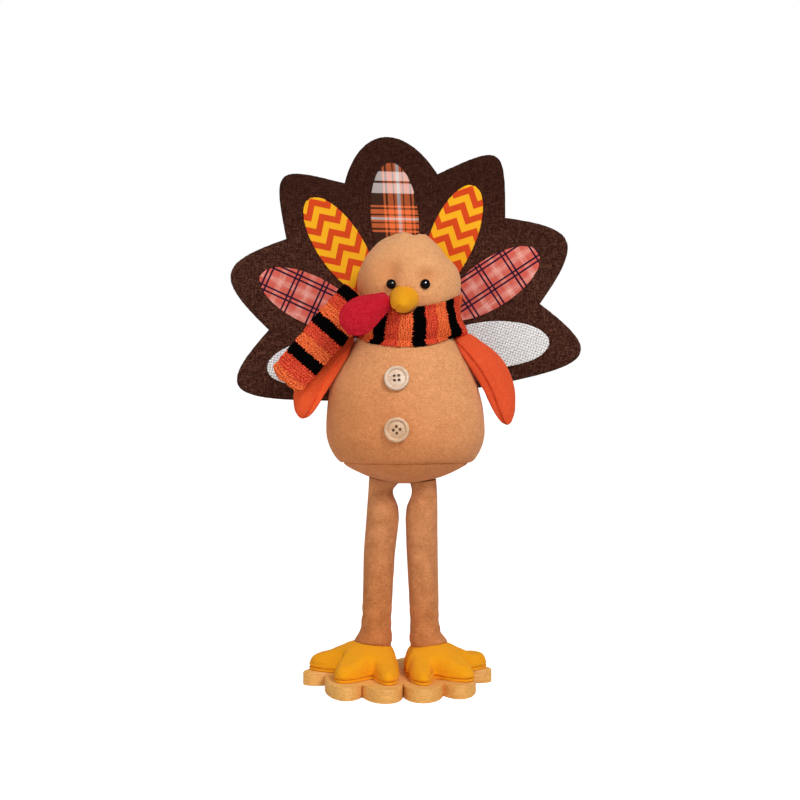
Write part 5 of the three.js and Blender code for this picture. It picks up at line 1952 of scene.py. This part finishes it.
    def build_feather(self, step: int, name: str, finish: Finish) -> None:
        """Models one feather patch with a thin cut edge.

        Args:
            step: Its lobe, counted from the top, negative on the left.
            name: The node's name.
            finish: Its cloth.
        """
        lobe = abs(step)
        tip = self.lobe_reach[lobe] - self.feather_borders[lobe]
        width = self.feather_widths[lobe]
        angle = ring_angles(160)
        share = np.concatenate([np.linspace(0.03, 0.94, 22), np.linspace(0.96, 1, 6)])[:, None]
        ring = flat_places(40 * np.cos(angle), 40 * np.sin(angle))
        fray = 1 + self.fray * lumps(ring, 1.6, 95 + step)
        across = 0.5 * width * np.sin(angle) * (1 + self.fullness * np.cos(angle)) * share * fray
        along = 0.5 * self.feather_length * (1 - np.cos(angle) * share * fray)
        middle = 0.5 * self.feather_length
        patch = spun(np.stack([across, along - middle], -1), self.patch_lean[step + 3])
        across, along = patch[..., 0], patch[..., 1] + middle + self.patch_drop[step + 3]
        flat = spun(np.stack([across, tip - along], -1), -self.feathers[lobe] * np.sign(step))
        edge = 1 - share + 0 * angle
        spots = flat_places(flat[..., 0], flat[..., 1])
        ripple = 0.07 * lumps(spots, 12, 96 + step) * eased(edge, 0, 0.2)
        round_off = 0.3 * bell(edge, 0.012)
        wave = self.wave(spots)
        front = self.placed(flat, -SEAT - self.patch + round_off + ripple + wave)
        back = self.placed(flat, -SEAT - round_off + wave)
        surface = Surface(np.concatenate([front, back[::-1]], 0))
        cloth = np.stack([across, along, 0 * across], -1)
        piece = surface.build(name + "_cloth", np.concatenate([cloth, cloth[::-1]], 0))
        dress(piece, finish, [name])


def dress_node(node: Piece, finish: Finish) -> None:
    """Gives a CAD node that stays its finish."""
    node.data.materials.clear()
    node.data.materials.append(finish.material())
    LOG.info("%s: %s, kept from the solid model", node.name, finish.value.name)


# Stage


@dataclass
class Studio:
    """White floor and background, soft lights and the camera."""

    camera_place: tuple[float, float, float] = (1.4, -1400.0, 300.0)
    pitch: float = 2.63
    focal: float = 1707.0
    image: float = 800.0
    key: float = 24.5
    fill: float = 7.0
    catch: float = 240.0
    sky: float = 0.42
    floor_reach: float = 6.0
    floor_dark: Colour = rgb(222, 218, 214)
    floor_pale: Colour = rgb(226, 222, 218)

    def build(self) -> None:
        """Makes the stage."""
        self.build_camera()
        self.build_floor()
        self.build_sky()
        self.build_light("key", (0.85, -1.4, 1.55), (0.0, 0.0, 0.25), size=0.55, power=self.key)
        self.build_light("fill", (-1.3, -1.3, 0.8), (0.0, 0.0, 0.22), size=1.2, power=self.fill)
        self.build_light("catch", (0.55, -1.5, 1.1), (0.0, 0.0, 0.33), size=0.5, power=self.catch,
                         diffuse=False)
        bpy.context.scene.view_settings.view_transform = "Standard"

    def build_camera(self) -> None:
        """Makes the camera at the photograph's viewing angle."""
        lens = bpy.data.cameras.new("camera")
        lens.sensor_width = 36.0
        lens.lens = self.focal / self.image * lens.sensor_width
        lens.clip_end = 20
        camera = bpy.data.objects.new("camera", lens)
        camera.location = [v * MM for v in self.camera_place]
        camera.rotation_euler = (math.radians(90 - self.pitch), 0, 0)
        bpy.context.scene.collection.objects.link(camera)
        bpy.context.scene.camera = camera

    def build_floor(self) -> None:
        """Makes a white floor that keeps the figure's shadow."""
        mesh = bpy.data.meshes.new("floor")
        far = self.floor_reach
        mesh.from_pydata([(-far, -far, 0), (far, -far, 0), (far, far, 0), (-far, far, 0)], [], [(0, 1, 2, 3)])
        floor = bpy.data.objects.new("floor", mesh)
        bpy.context.scene.collection.objects.link(floor)
        shade = Shade("floor_white")
        cloud = shade.noise(900, 1)
        shade.fit(Base_Color=shade.mix(cloud, self.floor_dark, self.floor_pale),
                  Roughness=0.9, Specular_IOR_Level=0.0,
                  Emission_Color=shade.mix(shade.seen(), BLACK, WHITE), Emission_Strength=0.8)
        mesh.materials.append(shade.material)

    def build_sky(self) -> None:
        """Makes the even light all round, white where the camera sees it."""
        sky = Sky("sky")
        sky.feed(sky.shader.inputs["Color"], WHITE)
        sky.feed(sky.shader.inputs["Strength"], self.sky)
        even = Value(sky, sky.shader.outputs[0])
        white = sky.node("ShaderNodeBackground", None, {"Color": WHITE})
        shown = sky.node("ShaderNodeMixShader", None, {0: sky.seen(), 1: even, 2: white})
        sky.feed(sky.tree.nodes["World Output"].inputs["Surface"], shown)

    def build_light(self, name: str, place: Sequence[float], target: Sequence[float], size: float,
                    power: float, diffuse: bool = True) -> None:
        """Makes one soft square light.

        Args:
            name: Its name.
            place: Where it stands, in metres.
            target: What it points at.
            size: Its width.
            power: Its strength in watts.
            diffuse: Whether it lights matt surfaces, or only shows in shiny ones.
        """
        lamp = bpy.data.lights.new(name, "AREA")
        lamp.size, lamp.energy = size, power
        made = bpy.data.objects.new(name, lamp)
        made.location = place
        made.visible_diffuse = diffuse
        toward = Vector(place) - Vector(target)
        made.rotation_euler = toward.to_track_quat("Z", "Y").to_euler()
        bpy.context.scene.collection.objects.link(made)


def main() -> None:
    """Builds the stage and the figure's sub-assemblies in order."""
    logging.basicConfig(level=logging.INFO, format="%(message)s")
    Studio().build()
    body, head, beak = Body(), Head(), Beak()
    Board().build()
    for foot, leg in (
        (Foot(Side.LEFT, x=-15.9, far_toe=59.5, far_height=7.4, far_run=54.0),
         Leg(Side.LEFT, x=-15.9, lean=6.0, top_flare=5.0, top_shift=2.4)),
        (Foot(Side.RIGHT, x=20.1, far_toe=57.0, far_height=10.6, far_run=35.0),
         Leg(Side.RIGHT, x=20.1, lean=5.5, top_flare=1.5, top_shift=0.0)),
    ):
        foot.build()
        leg.build(foot, body)
        dress_node(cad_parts[f"{leg.side.word}_leg_dowel"], Finish.DOWEL_WOOD)
        dress_node(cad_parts[f"{leg.side.word}_leg_screw"], Finish.STEEL)
    body.build()
    head.build()
    beak.build(head)
    Snood().build()
    Button("upper_button", height=87, hole_turn=45, finish=Finish.PALE_BUTTON).build(body)
    Button("lower_button", height=47, hole_turn=0, finish=Finish.TAN_BUTTON).build(body)
    Wing(Side.LEFT, (-42.75, -5.0, 281.0), slant=33.0, length=76.0, finish=Finish.LEFT_WING_FELT,
         width=36.0, root=28.0, bow=9.6, inward=0.7, clearance=3.2).build(body)
    Wing(Side.RIGHT, (54.75, -5.0, 281.0), slant=30.0, length=80.0, finish=Finish.RIGHT_WING_FELT).build(body)
    Scarf().build(body, head, beak)
    Fan().build()


if __name__ == "__main__":
    main()
